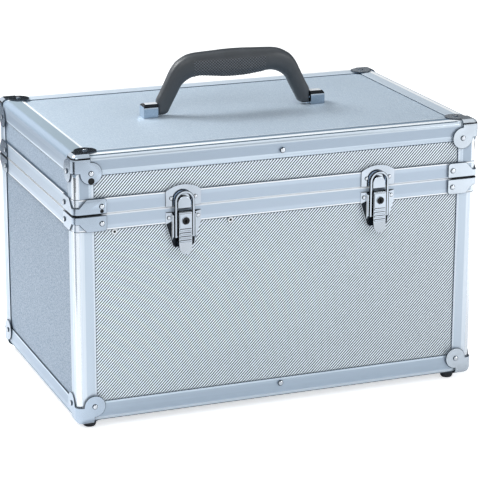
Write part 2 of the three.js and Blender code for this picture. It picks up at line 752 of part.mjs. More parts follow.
// The lock turns in the lever. Its keyhole is a round hole with a slot below it.
function latchLock() {
  const face = leverPivotOut + leverKnuckle + lockPadHeight + film;
  const profile = [
    [0, -lockShankLength],
    [lockShankRadius, -lockShankLength],
    [lockShankRadius, 0],
    [lockHeadRadius, 0],
    [lockHeadRadius, lockHeadThickness / 2],
    [lockHeadRadius - lockHeadThickness / 2, lockHeadThickness],
    [0, lockHeadThickness],
  ];
  const depth = [out(face + lockHeadThickness + overrun), out(face + lockHeadThickness - keyholeDepth)];
  const slot = [
    [-keySlotWidth / 2, lockDown - keySlotLength],
    [keySlotWidth / 2, lockDown - keySlotLength],
    [keySlotWidth / 2, lockDown],
    [-keySlotWidth / 2, lockDown],
  ];
  return revolved(profile, roundSteps, [0, out(face), lockDown], [0, -1, 0])
    .subtract(prism(circle([0, lockDown], keyholeRadius, archSteps), "y", depth))
    .subtract(prism(slot, "y", depth));
}

function addLatches() {
  for (const [name, side] of [["left", -1], ["right", 1]]) {
    const place = [(side * latchSpacing) / 2, -halfDepth, partingZ];
    addPiece(lid, `latch_strike_${name}`, latchStrike(), finishes.chrome, place);
    addPiece(body, `latch_base_${name}`, latchBase(), finishes.chrome, place);
    addPiece(body, `latch_lever_${name}`, latchLever(), finishes.chrome, place);
    addPiece(body, `latch_bail_${name}`, latchBail(), finishes.chrome, place);
    addPiece(body, `latch_lock_${name}`, latchLock(), finishes.steel, place);
  }
}

// One leaf of the piano hinge. Its knuckles take every second place, from the first or the second.
function hingeLeaf(first, side) {
  const places = 2 * Math.floor(hingeLength / knucklePitch / 2) + 1;
  const pitch = hingeLength / places;
  const axis = [halfDepth + hingeOut, partingZ];
  const clear = knuckleRadius + runningGap;
  const thickness = [halfDepth + film, halfDepth + film + leafThickness];
  const heights = (from, to) => [partingZ + side * from, partingZ + side * to].sort((a, b) => a - b);
  const parts = [block([-hingeLength / 2, hingeLength / 2], thickness, heights(clear, leafHeight))];
  for (let k = first; k < places; k += 2) {
    const start = -hingeLength / 2 + k * pitch;
    const span = [start + runningGap / 2, start + pitch - runningGap / 2];
    parts.push(prism(circle(axis, knuckleRadius, archSteps), "x", span));
    parts.push(block(span, thickness, heights(0, clear + leafThickness)));
  }
  const bore = prism(circle(axis, knuckleBore, rivetSteps), "x", [-halfWidth, halfWidth]);
  return joined(...parts).subtract(bore);
}

function addHinge() {
  addPiece(body, "hinge_body_leaf", hingeLeaf(0, -1), finishes.steel);
  addPiece(lid, "hinge_lid_leaf", hingeLeaf(1, 1), finishes.steel);
  const pin = circle([halfDepth + hingeOut, partingZ], hingePinRadius, rivetSteps);
  addPiece(body, "hinge_pin", prism(pin, "x", [-hingeLength / 2, hingeLength / 2]), finishes.steel);
}

// Outline of a link with round ends about two places in the side view
function linkOutline([y1, z1], [y2, z2], radius) {
  const heading = Math.atan2(z2 - z1, y2 - y1) / radians;
  return [
    ...arc([y2, z2], radius, heading - 90, heading + 90, archSteps / 2),
    ...arc([y1, z1], radius, heading + 90, heading + 270, archSteps / 2),
  ];
}

// Folded stays: the lower link turns on the body's side, the upper link reaches the lid's side
function addStays() {
  const forward = Math.sqrt(stayRadius ** 2 - stayUp ** 2);
  const elbowForward = forward + Math.sqrt(stayLink ** 2 - stayUp ** 2);
  const at = (f, h) => [halfDepth + hingeOut - f, partingZ + h];
  const [bodyPivot, lidPivot, elbow] = [at(forward, -stayUp), at(forward, stayUp), at(elbowForward, 0)];
  const lowerFrom = slotFloor + stayWallGap;
  const upperFrom = lowerFrom + stayThickness + runningGap;
  const upperTo = upperFrom + stayThickness;
  const headFrom = upperTo + runningGap;
  for (const [name, side] of [["left", -1], ["right", 1]]) {
    const disc = (centre, radius, from, to) => prism(circle(centre, radius), "x", span(from, to));
    const span = (from, to) => [side * (halfWidth - from), side * (halfWidth - to)].sort((a, b) => a - b);
    const wall = panelBack + runningGap;
    const [lowerMiddle, upperMiddle] = [lowerFrom + stayThickness / 2, upperFrom + stayThickness / 2];
    const headMiddle = headFrom + stayHeadThickness / 2;
    const lower = joined(
      prism(linkOutline(bodyPivot, elbow, stayWidth / 2), "x", span(lowerFrom, lowerFrom + stayThickness)),
      disc(bodyPivot, stayRivetRadius, wall, lowerMiddle),
      disc(bodyPivot, stayHeadRadius, lowerMiddle, upperFrom),
      disc(elbow, stayRivetRadius, lowerMiddle, headMiddle),
      disc(elbow, stayHeadRadius, headFrom, headFrom + stayHeadThickness),
    );
    const upper = joined(
      prism(linkOutline(elbow, lidPivot, stayWidth / 2), "x", span(upperFrom, upperTo)),
      disc(lidPivot, stayRivetRadius, wall, upperMiddle),
      disc(lidPivot, stayHeadRadius, upperMiddle, headMiddle),
    );
    const elbowBore = disc(elbow, stayRivetRadius + runningGap, upperFrom - overrun, upperTo + overrun);
    addPiece(body, `stay_lower_${name}`, lower, finishes.steel);
    addPiece(lid, `stay_upper_${name}`, upper.subtract(elbowBore), finishes.steel);
  }
}

addFrames();
addRims();
addPanels();
addCaps();
addBraces();
addFeet();
addHandle();
addLatches();
addHinge();
addStays();
scene.position.y = caseShift;

export default scene;
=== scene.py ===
import logging
import math
from contextlib import contextmanager
from dataclasses import dataclass, field
from enum import Enum
from typing import Any, Callable, Iterator, Sequence

import bpy
from mathutils import Matrix, Vector


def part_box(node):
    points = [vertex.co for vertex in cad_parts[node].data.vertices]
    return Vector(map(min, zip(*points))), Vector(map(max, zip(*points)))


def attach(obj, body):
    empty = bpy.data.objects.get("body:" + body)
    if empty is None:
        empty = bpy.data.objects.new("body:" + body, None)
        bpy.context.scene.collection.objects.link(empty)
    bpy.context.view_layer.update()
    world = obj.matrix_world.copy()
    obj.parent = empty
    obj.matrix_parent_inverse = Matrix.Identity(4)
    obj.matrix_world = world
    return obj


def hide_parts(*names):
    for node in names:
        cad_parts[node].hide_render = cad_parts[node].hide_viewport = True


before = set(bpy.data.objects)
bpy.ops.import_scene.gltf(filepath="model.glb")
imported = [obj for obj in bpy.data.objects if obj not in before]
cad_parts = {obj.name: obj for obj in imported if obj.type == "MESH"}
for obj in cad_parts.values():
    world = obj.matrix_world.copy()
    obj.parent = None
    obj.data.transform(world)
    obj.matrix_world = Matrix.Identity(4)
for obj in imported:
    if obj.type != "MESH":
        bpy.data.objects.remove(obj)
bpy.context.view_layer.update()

log = logging.getLogger("carry_case")

Point = tuple[float, float]
Place = tuple[float, float, float]
Colour = tuple[float, float, float]
Piece = bpy.types.Object
Face = bpy.types.MeshPolygon
Choice = Callable[[Face], int]
Material = bpy.types.Material

MM = 0.001
RIM_HEIGHT = 16 * MM  # of each rim, up to the parting line and from it
FLANGE = 20.5 * MM  # width of a rail or post in the open
FILM = 0.05 * MM  # between a fitting and the face that carries it
TO_FRONT = Matrix.Rotation(math.radians(90), 4, "X")  # turns +Z to the front
WHITE = (1.0, 1.0, 1.0, 1.0)


class Axis(Enum):
    """One of the three directions of the case."""

    X = 0
    Y = 1
    Z = 2


class Slot(Enum):
    """Material slots of the part."""

    FRAME = "frame_profile"
    PANEL = "dimpled_panel"
    CORNER = "corner_sheet"
    CHROME = "chrome_plate"
    ZINC = "zinc_steel"
    RUBBER = "foot_rubber"
    GRIP = "grip_plastic"


def linear(code: str) -> Colour:
    """A colour written as rrggbb in linear light, by the curve of sRGB.

    Args:
        code: Six hexadecimal digits.

    Returns:
        Red, green and blue in linear light.
    """
    shares = [int(code[i : i + 2], 16) / 255 for i in (0, 2, 4)]
    return tuple(s / 12.92 if s <= 0.04045 else ((s + 0.055) / 1.055) ** 2.4 for s in shares)


def corner_names() -> list[tuple[str, int, int]]:
    """Names of the four upright edges, with the signs of their X and Y."""
    return [("front_left", -1, -1), ("front_right", 1, -1), ("back_left", -1, 1), ("back_right", 1, 1)]


def others(axis: Axis) -> list[int]:
    """The numbers of the two axes beside this one."""
    return [a.value for a in Axis if a is not axis]


def parting_height() -> float:
    """Height of the line where the body and the lid meet."""
    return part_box("body_rim")[0].z + RIM_HEIGHT


def span_on(side: int, first: float, second: float) -> Point:
    """A span between two distances from the middle, on one side of it."""
    return tuple(sorted((side * first, side * second)))


def arc(centre: Point, radius: float, start: float, end: float, steps: int) -> list[Point]:
    """Points of an arc.

    Args:
        centre: Its centre.
        radius: Its radius.
        start: First angle in degrees.
        end: Last angle in degrees.
        steps: Number of chords.

    Returns:
        The points from start to end.
    """
    angles = [math.radians(start + (end - start) * i / steps) for i in range(steps + 1)]
    return [(centre[0] + radius * math.cos(a), centre[1] + radius * math.sin(a)) for a in angles]


def circle(centre: Point, radius: float, steps: int) -> list[Point]:
    """Points of a full circle, each once."""
    return arc(centre, radius, 0, 360, steps)[1:]


class Wire:
    """A socket in a shader tree, with arithmetic that adds Math nodes."""

    def __init__(self, shader: "Shader", socket: bpy.types.NodeSocket) -> None:
        """Keeps the socket and the shader that it belongs to."""
        self.shader = shader
        self.socket = socket

    def _math(self, operation: str, *values: Any) -> "Wire":
        """A Math node on these values."""
        return self.shader.add("ShaderNodeMath", dict(enumerate(values)), operation=operation)

    def __add__(self, other: Any) -> "Wire":
        """Sum with a number or another wire."""
        return self._math("ADD", self, other)

    def __radd__(self, other: Any) -> "Wire":
        """Sum with a number on the left."""
        return self._math("ADD", other, self)

    def __sub__(self, other: Any) -> "Wire":
        """Difference from a number or another wire."""
        return self._math("SUBTRACT", self, other)

    def __rsub__(self, other: Any) -> "Wire":
        """Difference of a number on the left."""
        return self._math("SUBTRACT", other, self)

    def __mul__(self, other: Any) -> "Wire":
        """Product with a number or another wire."""
        return self._math("MULTIPLY", self, other)

    def __rmul__(self, other: Any) -> "Wire":
        """Product with a number on the left."""
        return self._math("MULTIPLY", other, self)

    def sine(self) -> "Wire":
        """Sine of the value in radians."""
        return self._math("SINE", self)

    def size(self) -> "Wire":
        """The value without its sign."""
        return self._math("ABSOLUTE", self)

    def least(self, other: Any) -> "Wire":
        """The smaller of two values."""
        return self._math("MINIMUM", self, other)

    def most(self, other: Any) -> "Wire":
        """The larger of two values."""
        return self._math("MAXIMUM", self, other)

    def below(self, edge: float) -> "Wire":
        """1 where the value is under the edge, else 0."""
        return self._math("LESS_THAN", self, edge)

    def ramp(self, low: float, high: float) -> "Wire":
        """The value's share of the way from low to high, kept within 0 and 1 and eased."""
        inputs = {"Value": self, "From Min": low, "From Max": high, "To Min": 0.0, "To Max": 1.0}
        return self.shader.add("ShaderNodeMapRange", inputs, interpolation_type="SMOOTHSTEP")


class Shader:
    """A material with a Principled shader, built node by node."""

    def __init__(self, name: str) -> None:
        """Starts a material.

        Args:
            name: The material's name.
        """
        self.material = bpy.data.materials.new(name)
        self.material.use_nodes = True
        self.nodes = self.material.node_tree.nodes
        self.links = self.material.node_tree.links
        self.surface = self.nodes["Principled BSDF"]

    def add(self, kind: str, inputs: dict[Any, Any] | None = None, output: Any = 0, **settings: Any) -> Wire:
        """Adds a node.

        Args:
            kind: The node's type.
            inputs: Values or wires of its sockets, by name or number.
            output: Name or number of the socket that is wanted.
            settings: Properties of the node, set before its sockets.

        Returns:
            The wanted output.
        """
        node = self.nodes.new(kind)
        for key, value in settings.items():
            setattr(node, key, value)
        for key, value in (inputs or {}).items():
            self.put(node.inputs[key], value)
        return Wire(self, node.outputs[output])

    def put(self, socket: bpy.types.NodeSocket, value: Any) -> None:
        """Links a wire to a socket, or sets the socket's own value.

        Args:
            socket: The socket.
            value: A wire, a number, a vector or a colour.
        """
        if isinstance(value, Wire):
            self.links.new(value.socket, socket)
        elif socket.type == "RGBA" and len(value) == 3:
            socket.default_value = (*value, 1.0)
        else:
            socket.default_value = value

    def feed(self, name: str, value: Any) -> None:
        """Feeds an input of the Principled shader."""
        self.put(self.surface.inputs[name], value)

    def place(self) -> Wire:
        """The point's place in the part's own frame."""
        return self.add("ShaderNodeTexCoord", output="Object")

    def parts(self, vector: Wire) -> list[Wire]:
        """The three numbers of a vector."""
        node = self.add("ShaderNodeSeparateXYZ", {0: vector}).socket.node
        return [Wire(self, socket) for socket in node.outputs]

    def stretched(self, vector: Wire, scale: Place) -> Wire:
        """A vector scaled by an amount for each axis."""
        return self.add("ShaderNodeVectorMath", {0: vector, 1: scale}, operation="MULTIPLY")

    def noise(self, vector: Wire, scale: float, detail: float = 2.0) -> Wire:
        """Smooth noise from 0 to 1."""
        inputs = {"Vector": vector, "Scale": scale, "Detail": detail}
        return self.add("ShaderNodeTexNoise", inputs, noise_dimensions="3D")

    def mixed(self, share: Any, first: Any, second: Any) -> Wire:
        """A colour between two colours.

        Args:
            share: How much there is of the second, from 0 to 1.
            first: The first colour.
            second: The second colour.

        Returns:
            The mixed colour.
        """
        node = self.nodes.new("ShaderNodeMix")
        node.data_type = "RGBA"
        for socket, value in ((node.inputs[0], share), (node.inputs[6], first), (node.inputs[7], second)):
            self.put(socket, value)
        return Wire(self, node.outputs[2])

    def edge_depth(self, centre: Place, half: Place) -> Wire:
        """How far a point of the shell lies in from its nearest edge, along its own face.

        Args:
            centre: The middle of the shell.
            half: Half the shell's size.

        Returns:
            The distance in metres, 0 on the edge.
        """
        offset = self.add("ShaderNodeVectorMath", {0: self.place(), 1: centre}, operation="SUBTRACT")
        a, b, c = (h - part.size() for h, part in zip(half, self.parts(offset)))
        return a.least(b).most(a.most(b).least(c))

    def bump(self, height: Wire, distance: float, strength: float) -> None:
        """Raises the surface by a height from 0 to 1 times a distance in metres."""
        inputs = {"Height": height, "Distance": distance, "Strength": strength}
        self.feed("Normal", self.add("ShaderNodeBump", inputs))


@dataclass(frozen=True)
class DrawnLines:
    """Fine and wide lines left by the drawing of a profile."""

    run: Axis
    scales: Point = (900.0, 260.0)
    run_scale: float = 6.0
    fades: tuple[Point, Point] = ((0.4, 0.7), (0.4, 0.65))
    relief: float = 0.02 * MM
    strength: float = 0.35

    def wires(self, shader: Shader) -> list[Wire]:
        """The fine and the wide lines of a material, from 0 to 1.

        Args:
            shader: The material.

        Returns:
            The two wires.
        """
        both = []
        for across in self.scales:
            scale = [across] * 3
            scale[self.run.value] = self.run_scale
            both.append(shader.noise(shader.stretched(shader.place(), tuple(scale)), 1.0, 3.0))
        return both

    def tone(self, wires: Sequence[Wire], shares: Point) -> Wire:
        """How much the lines tone a point, by the shares of the fine and the wide ones."""
        fine, wide = (wire.ramp(*fade) * share for wire, fade, share in zip(wires, self.fades, shares))
        return fine + wide


@dataclass(frozen=True)
class Extrusion:
    """Satin anodised edge profile, toned with painted light and shade by how far a point lies in from the
    shell's edge.

    The nose carries painted light: a highlight on the front rails and the uprights, shade on the side rails. It
    is followed by bands of painted reflection with drawn lines, a painted highlight on the lip and a thin
    painted shadow beside the panel. The top faces have painted reflection bands and highlights of their own,
    with other tones on the side rails and paler painted light on the far rails. A painted dark reflection line
    runs along the nose of the front rails and along the foot of the front and back rails.
    """

    run: Axis
    centre: Place
    half: Place
    nose_painted_light: Colour = linear("d3e0ec")
    light: Colour = linear("cbdbe8")
    band: Colour = linear("a7b6c6")
    low_band: Colour = linear("b0c0d0")
    lip: Colour = linear("d4e2ef")
    shadow: Colour = linear("46586a")
    crown: Colour = linear("7d91a4")
    crown_highlight: Colour = linear("f4faff")
    crown_lip_highlight: Colour = linear("f4faff")
    side_crown: Colour = linear("9cadb9")
    far_crown_light: Colour = linear("f6fafd")
    far_band_light: Colour = linear("c6d3df")
    outline: Colour = linear("465a6b")
    outlined: float = 1.0
    nose_metal: float = 0.35
    nose_rough: float = 0.14
    nose: Point = (4.6 * MM, 6.0 * MM)
    band_from: Point = (4.8 * MM, 5.4 * MM)
    lip_from: Point = (14.8 * MM, 15.2 * MM)
    low_lip_from: Point = (18.2 * MM, 18.6 * MM)
    shadow_from: Point = (19.9 * MM, 20.2 * MM)
    top_depth: Point = (1.1 * MM, 1.3 * MM)
    crown_from: Point = (9.8 * MM, 10.2 * MM)
    crown_to: Point = (17.2 * MM, 17.6 * MM)
    line_from: Point = (2.4 * MM, 2.8 * MM)
    line_to: Point = (4.8 * MM, 5.2 * MM)
    line_drop: Point = (1.2 * MM, 1.6 * MM)
    foot: Point = (1.6 * MM, 2.2 * MM)
    far_reach: float = 21.5 * MM
    line_shares: Point = (0.35, 0.25)
    cloud_scale: float = 14.0
    flat_metal: float = 0.45
    level_drop: float = 0.35
    flat_rough: float = 0.28
    cloud_rough: float = 0.08
    line_rough: float = 0.06

    def material(self) -> Material:
        """Builds the material.

        Returns:
            The material.
        """
        shader = Shader(f"extrusion_{self.run.name.lower()}")
        depth = shader.edge_depth(self.centre, self.half)
        drawn = DrawnLines(self.run)
        lines = drawn.wires(shader)
        clouds = shader.noise(shader.place(), self.cloud_scale)
        flat = depth.ramp(*self.nose)
        across, back, up = shader.parts(shader.place())
        below, above = (self.centre[2] + self.half[2]) - up, up - (self.centre[2] - self.half[2])
        high = up.ramp(self.centre[2], self.centre[2] + MM)
        level = 1 - below.ramp(*self.top_depth)
        ends = [c + h - self.far_reach for c, h in zip(self.centre, self.half)]
        far = across.ramp(ends[0], ends[0] + MM).most(back.ramp(ends[1], ends[1] + MM))
        # Bands of painted reflection across the flat, with other tones on the lower rails, then a painted
        # highlight on the lip and a painted shadow beside the panel.
        band = shader.mixed(high, self.low_band, self.band)
        colour = shader.mixed(depth.ramp(*self.band_from), self.light, band)
        lip = high * depth.ramp(*self.lip_from) + (1 - high) * depth.ramp(*self.low_lip_from)
        colour = shader.mixed(lip, colour, self.lip)
        colour = shader.mixed(drawn.tone(lines, self.line_shares), colour, self.band)
        colour = shader.mixed(depth.ramp(*self.shadow_from), colour, self.shadow)
        # Painted reflection bands on the top faces, with a painted highlight at their edge and lip; the far
        # rails are paler, as painted light.
        inward = [h - (part - c).size() for part, c, h in zip((across, back), self.centre, self.half)]
        beside = (inward[0] - inward[1]).below(0.0)
        crown = shader.mixed(depth.ramp(*self.crown_from), self.crown_highlight, self.crown)
        crown = shader.mixed(beside, crown, self.side_crown)
        crown = shader.mixed(depth.ramp(*self.crown_to), crown, self.crown_lip_highlight)
        far_crown_light = shader.mixed(depth.ramp(*self.crown_from), self.far_crown_light, self.far_band_light)
        colour = shader.mixed(level, colour, shader.mixed(far, crown, far_crown_light))
        # Painted light on the nose: a highlight on the front rails and uprights, shade on the side rails.
        colour = shader.mixed(flat, self.nose_painted_light, colour)
        # A painted dark reflection line along the nose and the foot.
        line = depth.ramp(*self.line_from) * (1 - depth.ramp(*self.line_to)) * (1 - below.ramp(*self.line_drop))
        line = (line * (1 - far) * (1 - beside)).most(1 - above.ramp(*self.foot)) * self.outlined
        shader.feed("Base Color", shader.mixed(line, colour, self.outline))
        metal = (self.flat_metal - self.nose_metal) - self.level_drop * level
        shader.feed("Metallic", self.nose_metal + flat * metal)
        rough = (self.flat_rough - self.nose_rough) + self.cloud_rough * clouds + self.line_rough * lines[0]
        shader.feed("Roughness", self.nose_rough + flat * rough)
        shader.bump(lines[0], drawn.relief, drawn.strength)
        return shader.material


@dataclass(frozen=True)
class RimStrip:
    """Satin rim beside the parting line, with painted highlights along its two edges and painted shadow in the
    seam and near the corners.
    """

    run: Axis
    centre: Place
    half: Place
    parting: float
    edge: Colour = linear("f4f8fc")
    band: Colour = linear("b4c3d3")
    light: Colour = linear("c3d1e0")
    shadow: Colour = linear("46586a")
    nose_painted_light: Colour = linear("dde6f0")
    nose: Point = (4.6 * MM, 6.0 * MM)
    near: Point = (1.0 * MM, 1.5 * MM)
    far: Point = (9.5 * MM, 12.0 * MM)
    lip: Point = (14.2 * MM, 14.5 * MM)
    seam: Point = (15.4 * MM, 15.6 * MM)
    corner_shadow: Colour = linear("15191d")
    corner_end: Point = (26.0 * MM, 30.0 * MM)
    corner_height: Point = (1.0 * MM, 1.4 * MM)
    line_shares: Point = (0.3, 0.2)
    nose_metal: float = 0.8
    metal_drop: float = 0.35
    nose_rough: float = 0.14
    flat_rough: float = 0.16
    line_rough: float = 0.06

    def material(self) -> Material:
        """Builds the material.

        Returns:
            The material.
        """
        shader = Shader(f"rim_{self.run.name.lower()}")
        height = (shader.parts(shader.place())[2] - self.parting).size()
        drawn = DrawnLines(self.run)
        lines = drawn.wires(shader)
        flat = shader.edge_depth(self.centre, self.half).ramp(*self.nose)
        # Painted highlights along both edges of the rim, with bands of painted reflection between them.
        colour = shader.mixed(height.ramp(*self.near), self.edge, self.band)
        colour = shader.mixed(height.ramp(*self.far), colour, self.light)
        colour = shader.mixed(drawn.tone(lines, self.line_shares), colour, self.band)
        colour = shader.mixed(height.ramp(*self.lip), colour, self.edge)
        # A painted highlight on the nose and a painted shadow in the seam.
        colour = shader.mixed(height.ramp(*self.seam), shader.mixed(flat, self.nose_painted_light, colour), self.shadow)
        at = shader.parts(shader.place())[self.run.value]
        inward = self.half[self.run.value] - (at - self.centre[self.run.value]).size()
        # Painted shadow near the corners, under the braces.
        corner = (1 - inward.ramp(*self.corner_end)) * (1 - height.ramp(*self.corner_height))
        shader.feed("Base Color", shader.mixed(corner, colour, self.corner_shadow))
        shader.feed("Metallic", self.nose_metal - self.metal_drop * flat)
        shader.feed("Roughness", self.nose_rough + flat * (self.flat_rough + self.line_rough * lines[0]))
        shader.bump(lines[0], drawn.relief, drawn.strength)
        return shader.material


@dataclass(frozen=True)
class EmbossedSheet:
    """Aluminium sheet embossed with fine diagonal ridges, in step with the mesh's own grid, with painted light
    on the ridges and painted shade in the valleys.
    """

    name: str
    contrast: float
    even: Colour
    light: Colour = linear("ecf7ff")
    dark: Colour = linear("0e1b2c")
    speck_share: float = 0.35
    speck_scale: float = 700.0
    speck_fade: Point = (0.35, 0.7)
    dot_share: float = 0.2
    lit_from: Point = (0.14, 0.42)
    drift_scale: float = 9.0
    drift_rough: float = 0.12
    metallic: float = 0.3
    roughness: float = 0.36
    relief: float = 0.2 * MM
    strength: float = 0.4

    @staticmethod
    def wave(steps: Wire) -> Wire:
        """A wave from 0 to 1 that comes back every two steps of the grid."""
        return 0.5 + 0.5 * (steps * math.pi).sine()

    def material(self) -> Material:
        """Builds the material.

        Returns:
            The material.
        """
        shader = Shader(f"embossed_{self.name}")
        grid = shader.parts(shader.add("ShaderNodeTexCoord", output="UV"))
        rows, dots = self.wave(grid[0] - grid[1]), self.wave(grid[0] + grid[1])
        height = rows * ((1 - self.dot_share) + self.dot_share * dots)
        drift = shader.noise(shader.place(), self.drift_scale, 3.0)
        specks = shader.noise(shader.place(), self.speck_scale)
        # Painted light and shade on the relief: the ridges light, the valleys dark.
        lit = shader.mixed(height.ramp(*self.lit_from), self.dark, self.light)
        even = shader.mixed(specks.ramp(*self.speck_fade) * self.speck_share, self.even, self.light)
        shader.feed("Base Color", shader.mixed(self.contrast, even, lit))
        shader.feed("Metallic", self.metallic)
        shader.feed("Roughness", self.roughness + self.drift_rough * drift)
        shader.bump(height, self.relief, self.strength)
        return shader.material


@dataclass(frozen=True)
class PlatedMetal:
    """Pressed or plated metal: a base colour, a gloss, faint brushing and handling marks."""

    name: str
    colour: Colour
    roughness: float
    metallic: float = 1.0
    mark: float = 0.06
    mark_scale: float = 160.0
    drift_scale: float = 28.0
    drift_fade: Point = (0.35, 0.75)
    drift_tone: float = 0.82
    grain_scale: float = 900.0
    relief: float = 0.01 * MM
    strength: float = 0.4

    def material(self) -> Material:
        """Builds the material.

        Returns:
            The material.
        """
        shader = Shader(self.name)
        marks = shader.noise(shader.place(), self.mark_scale, 4.0)
        drift = shader.noise(shader.place(), self.drift_scale)
        darker = tuple(c * self.drift_tone for c in self.colour)
        shader.feed("Base Color", shader.mixed(drift.ramp(*self.drift_fade), self.colour, darker))
        shader.feed("Metallic", self.metallic)
        shader.feed("Roughness", self.roughness + self.mark * marks)
        shader.bump(shader.noise(shader.place(), self.grain_scale), self.relief, self.strength)
        return shader.material


@dataclass(frozen=True)
class MouldedPlastic:
    """Matte moulded plastic with a fine grained skin."""

    name: str
    colour: Colour
    worn: Colour
    roughness: float
    drift_scale: float = 30.0
    drift_fade: Point = (0.4, 0.8)
    grain_scale: float = 1400.0
    grain_rough: float = 0.12
    relief: float = 0.06 * MM
    strength: float = 0.5

    def skin(self, shader: Shader) -> tuple[Wire, Wire]:
        """The plain colour of a moulded skin and its grain, from 0 to 1.

        Args:
            shader: The material.

        Returns:
            The wires of the colour and of the grain.
        """
        drift = shader.noise(shader.place(), self.drift_scale, 3.0)
        grain = shader.noise(shader.place(), self.grain_scale)
        shader.feed("Roughness", self.roughness + self.grain_rough * grain)
        return shader.mixed(drift.ramp(*self.drift_fade), self.colour, self.worn), grain

    def material(self) -> Material:
        """Builds the material.

        Returns:
            The material.
        """
        shader = Shader(self.name)
        colour, grain = self.skin(shader)
        shader.feed("Base Color", colour)
        shader.bump(grain, self.relief, self.strength)
        return shader.material


@dataclass(frozen=True)
class ScaledPlastic(MouldedPlastic):
    """Moulded plastic with a scaled hold on its lower part."""

    base: float = 0.0
    scale: Colour = linear("4c5259")
    groove: Colour = linear("101214")
    hold: Point = (-46 * MM, 32 * MM)
    hold_fade: float = 1.5 * MM
    hold_top: float = 53 * MM
    pitch: Point = (3.2 * MM, 2.9 * MM)
    scale_fade: Point = (0.08, 0.5)
    grain_share: float = 0.1
    relief: float = 0.6 * MM
    strength: float = 0.7

    def material(self) -> Material:
        """Builds the material.

        Returns:
            The material.
        """
        shader = Shader(self.name)
        across, _, up = shader.parts(shader.place())
        top = self.base + self.hold_top
        inside = across.ramp(self.hold[0], self.hold[0] + self.hold_fade)
        inside = inside * (1 - across.ramp(self.hold[1] - self.hold_fade, self.hold[1]))
        inside = inside * (1 - up.ramp(top, top + self.hold_fade))
        u, v = across * (math.pi / self.pitch[0]), up * (math.pi / self.pitch[1])
        scales = ((u + v).sine() * (u - v).sine()).size()
        plain, grain = self.skin(shader)
        # The scales are painted lighter and the grooves between them dark: painted light and shade on the
        # relief.
        scaled = shader.mixed(scales.ramp(*self.scale_fade), self.groove, self.scale)
        shader.feed("Base Color", shader.mixed(inside, plain, scaled))
        shader.bump(inside * scales + self.grain_share * grain, self.relief, self.strength)
        return shader.material


@dataclass(frozen=True)
class Lining:
    """Short grey felt glued to the inside of the panels."""

    colour: Colour = linear("4c5158")
    fleck: Colour = linear("71777f")
    roughness: float = 0.95
    fibre_scale: float = 1500.0
    fibre_share: float = 0.6
    drift_scale: float = 22.0
    fade: Point = (0.35, 0.75)
    relief: float = 0.3 * MM
    strength: float = 0.7

    def material(self) -> Material:
        """Builds the material.

        Returns:
            The material.
        """
        shader = Shader("felt_lining")
        fibres = shader.noise(shader.place(), self.fibre_scale, 4.0)
        drift = shader.noise(shader.place(), self.drift_scale)
        tufts = self.fibre_share * fibres + (1 - self.fibre_share) * drift
        shader.feed("Base Color", shader.mixed(tufts.ramp(*self.fade), self.colour, self.fleck))
        shader.feed("Roughness", self.roughness)
        shader.bump(fibres, self.relief, self.strength)
        return shader.material


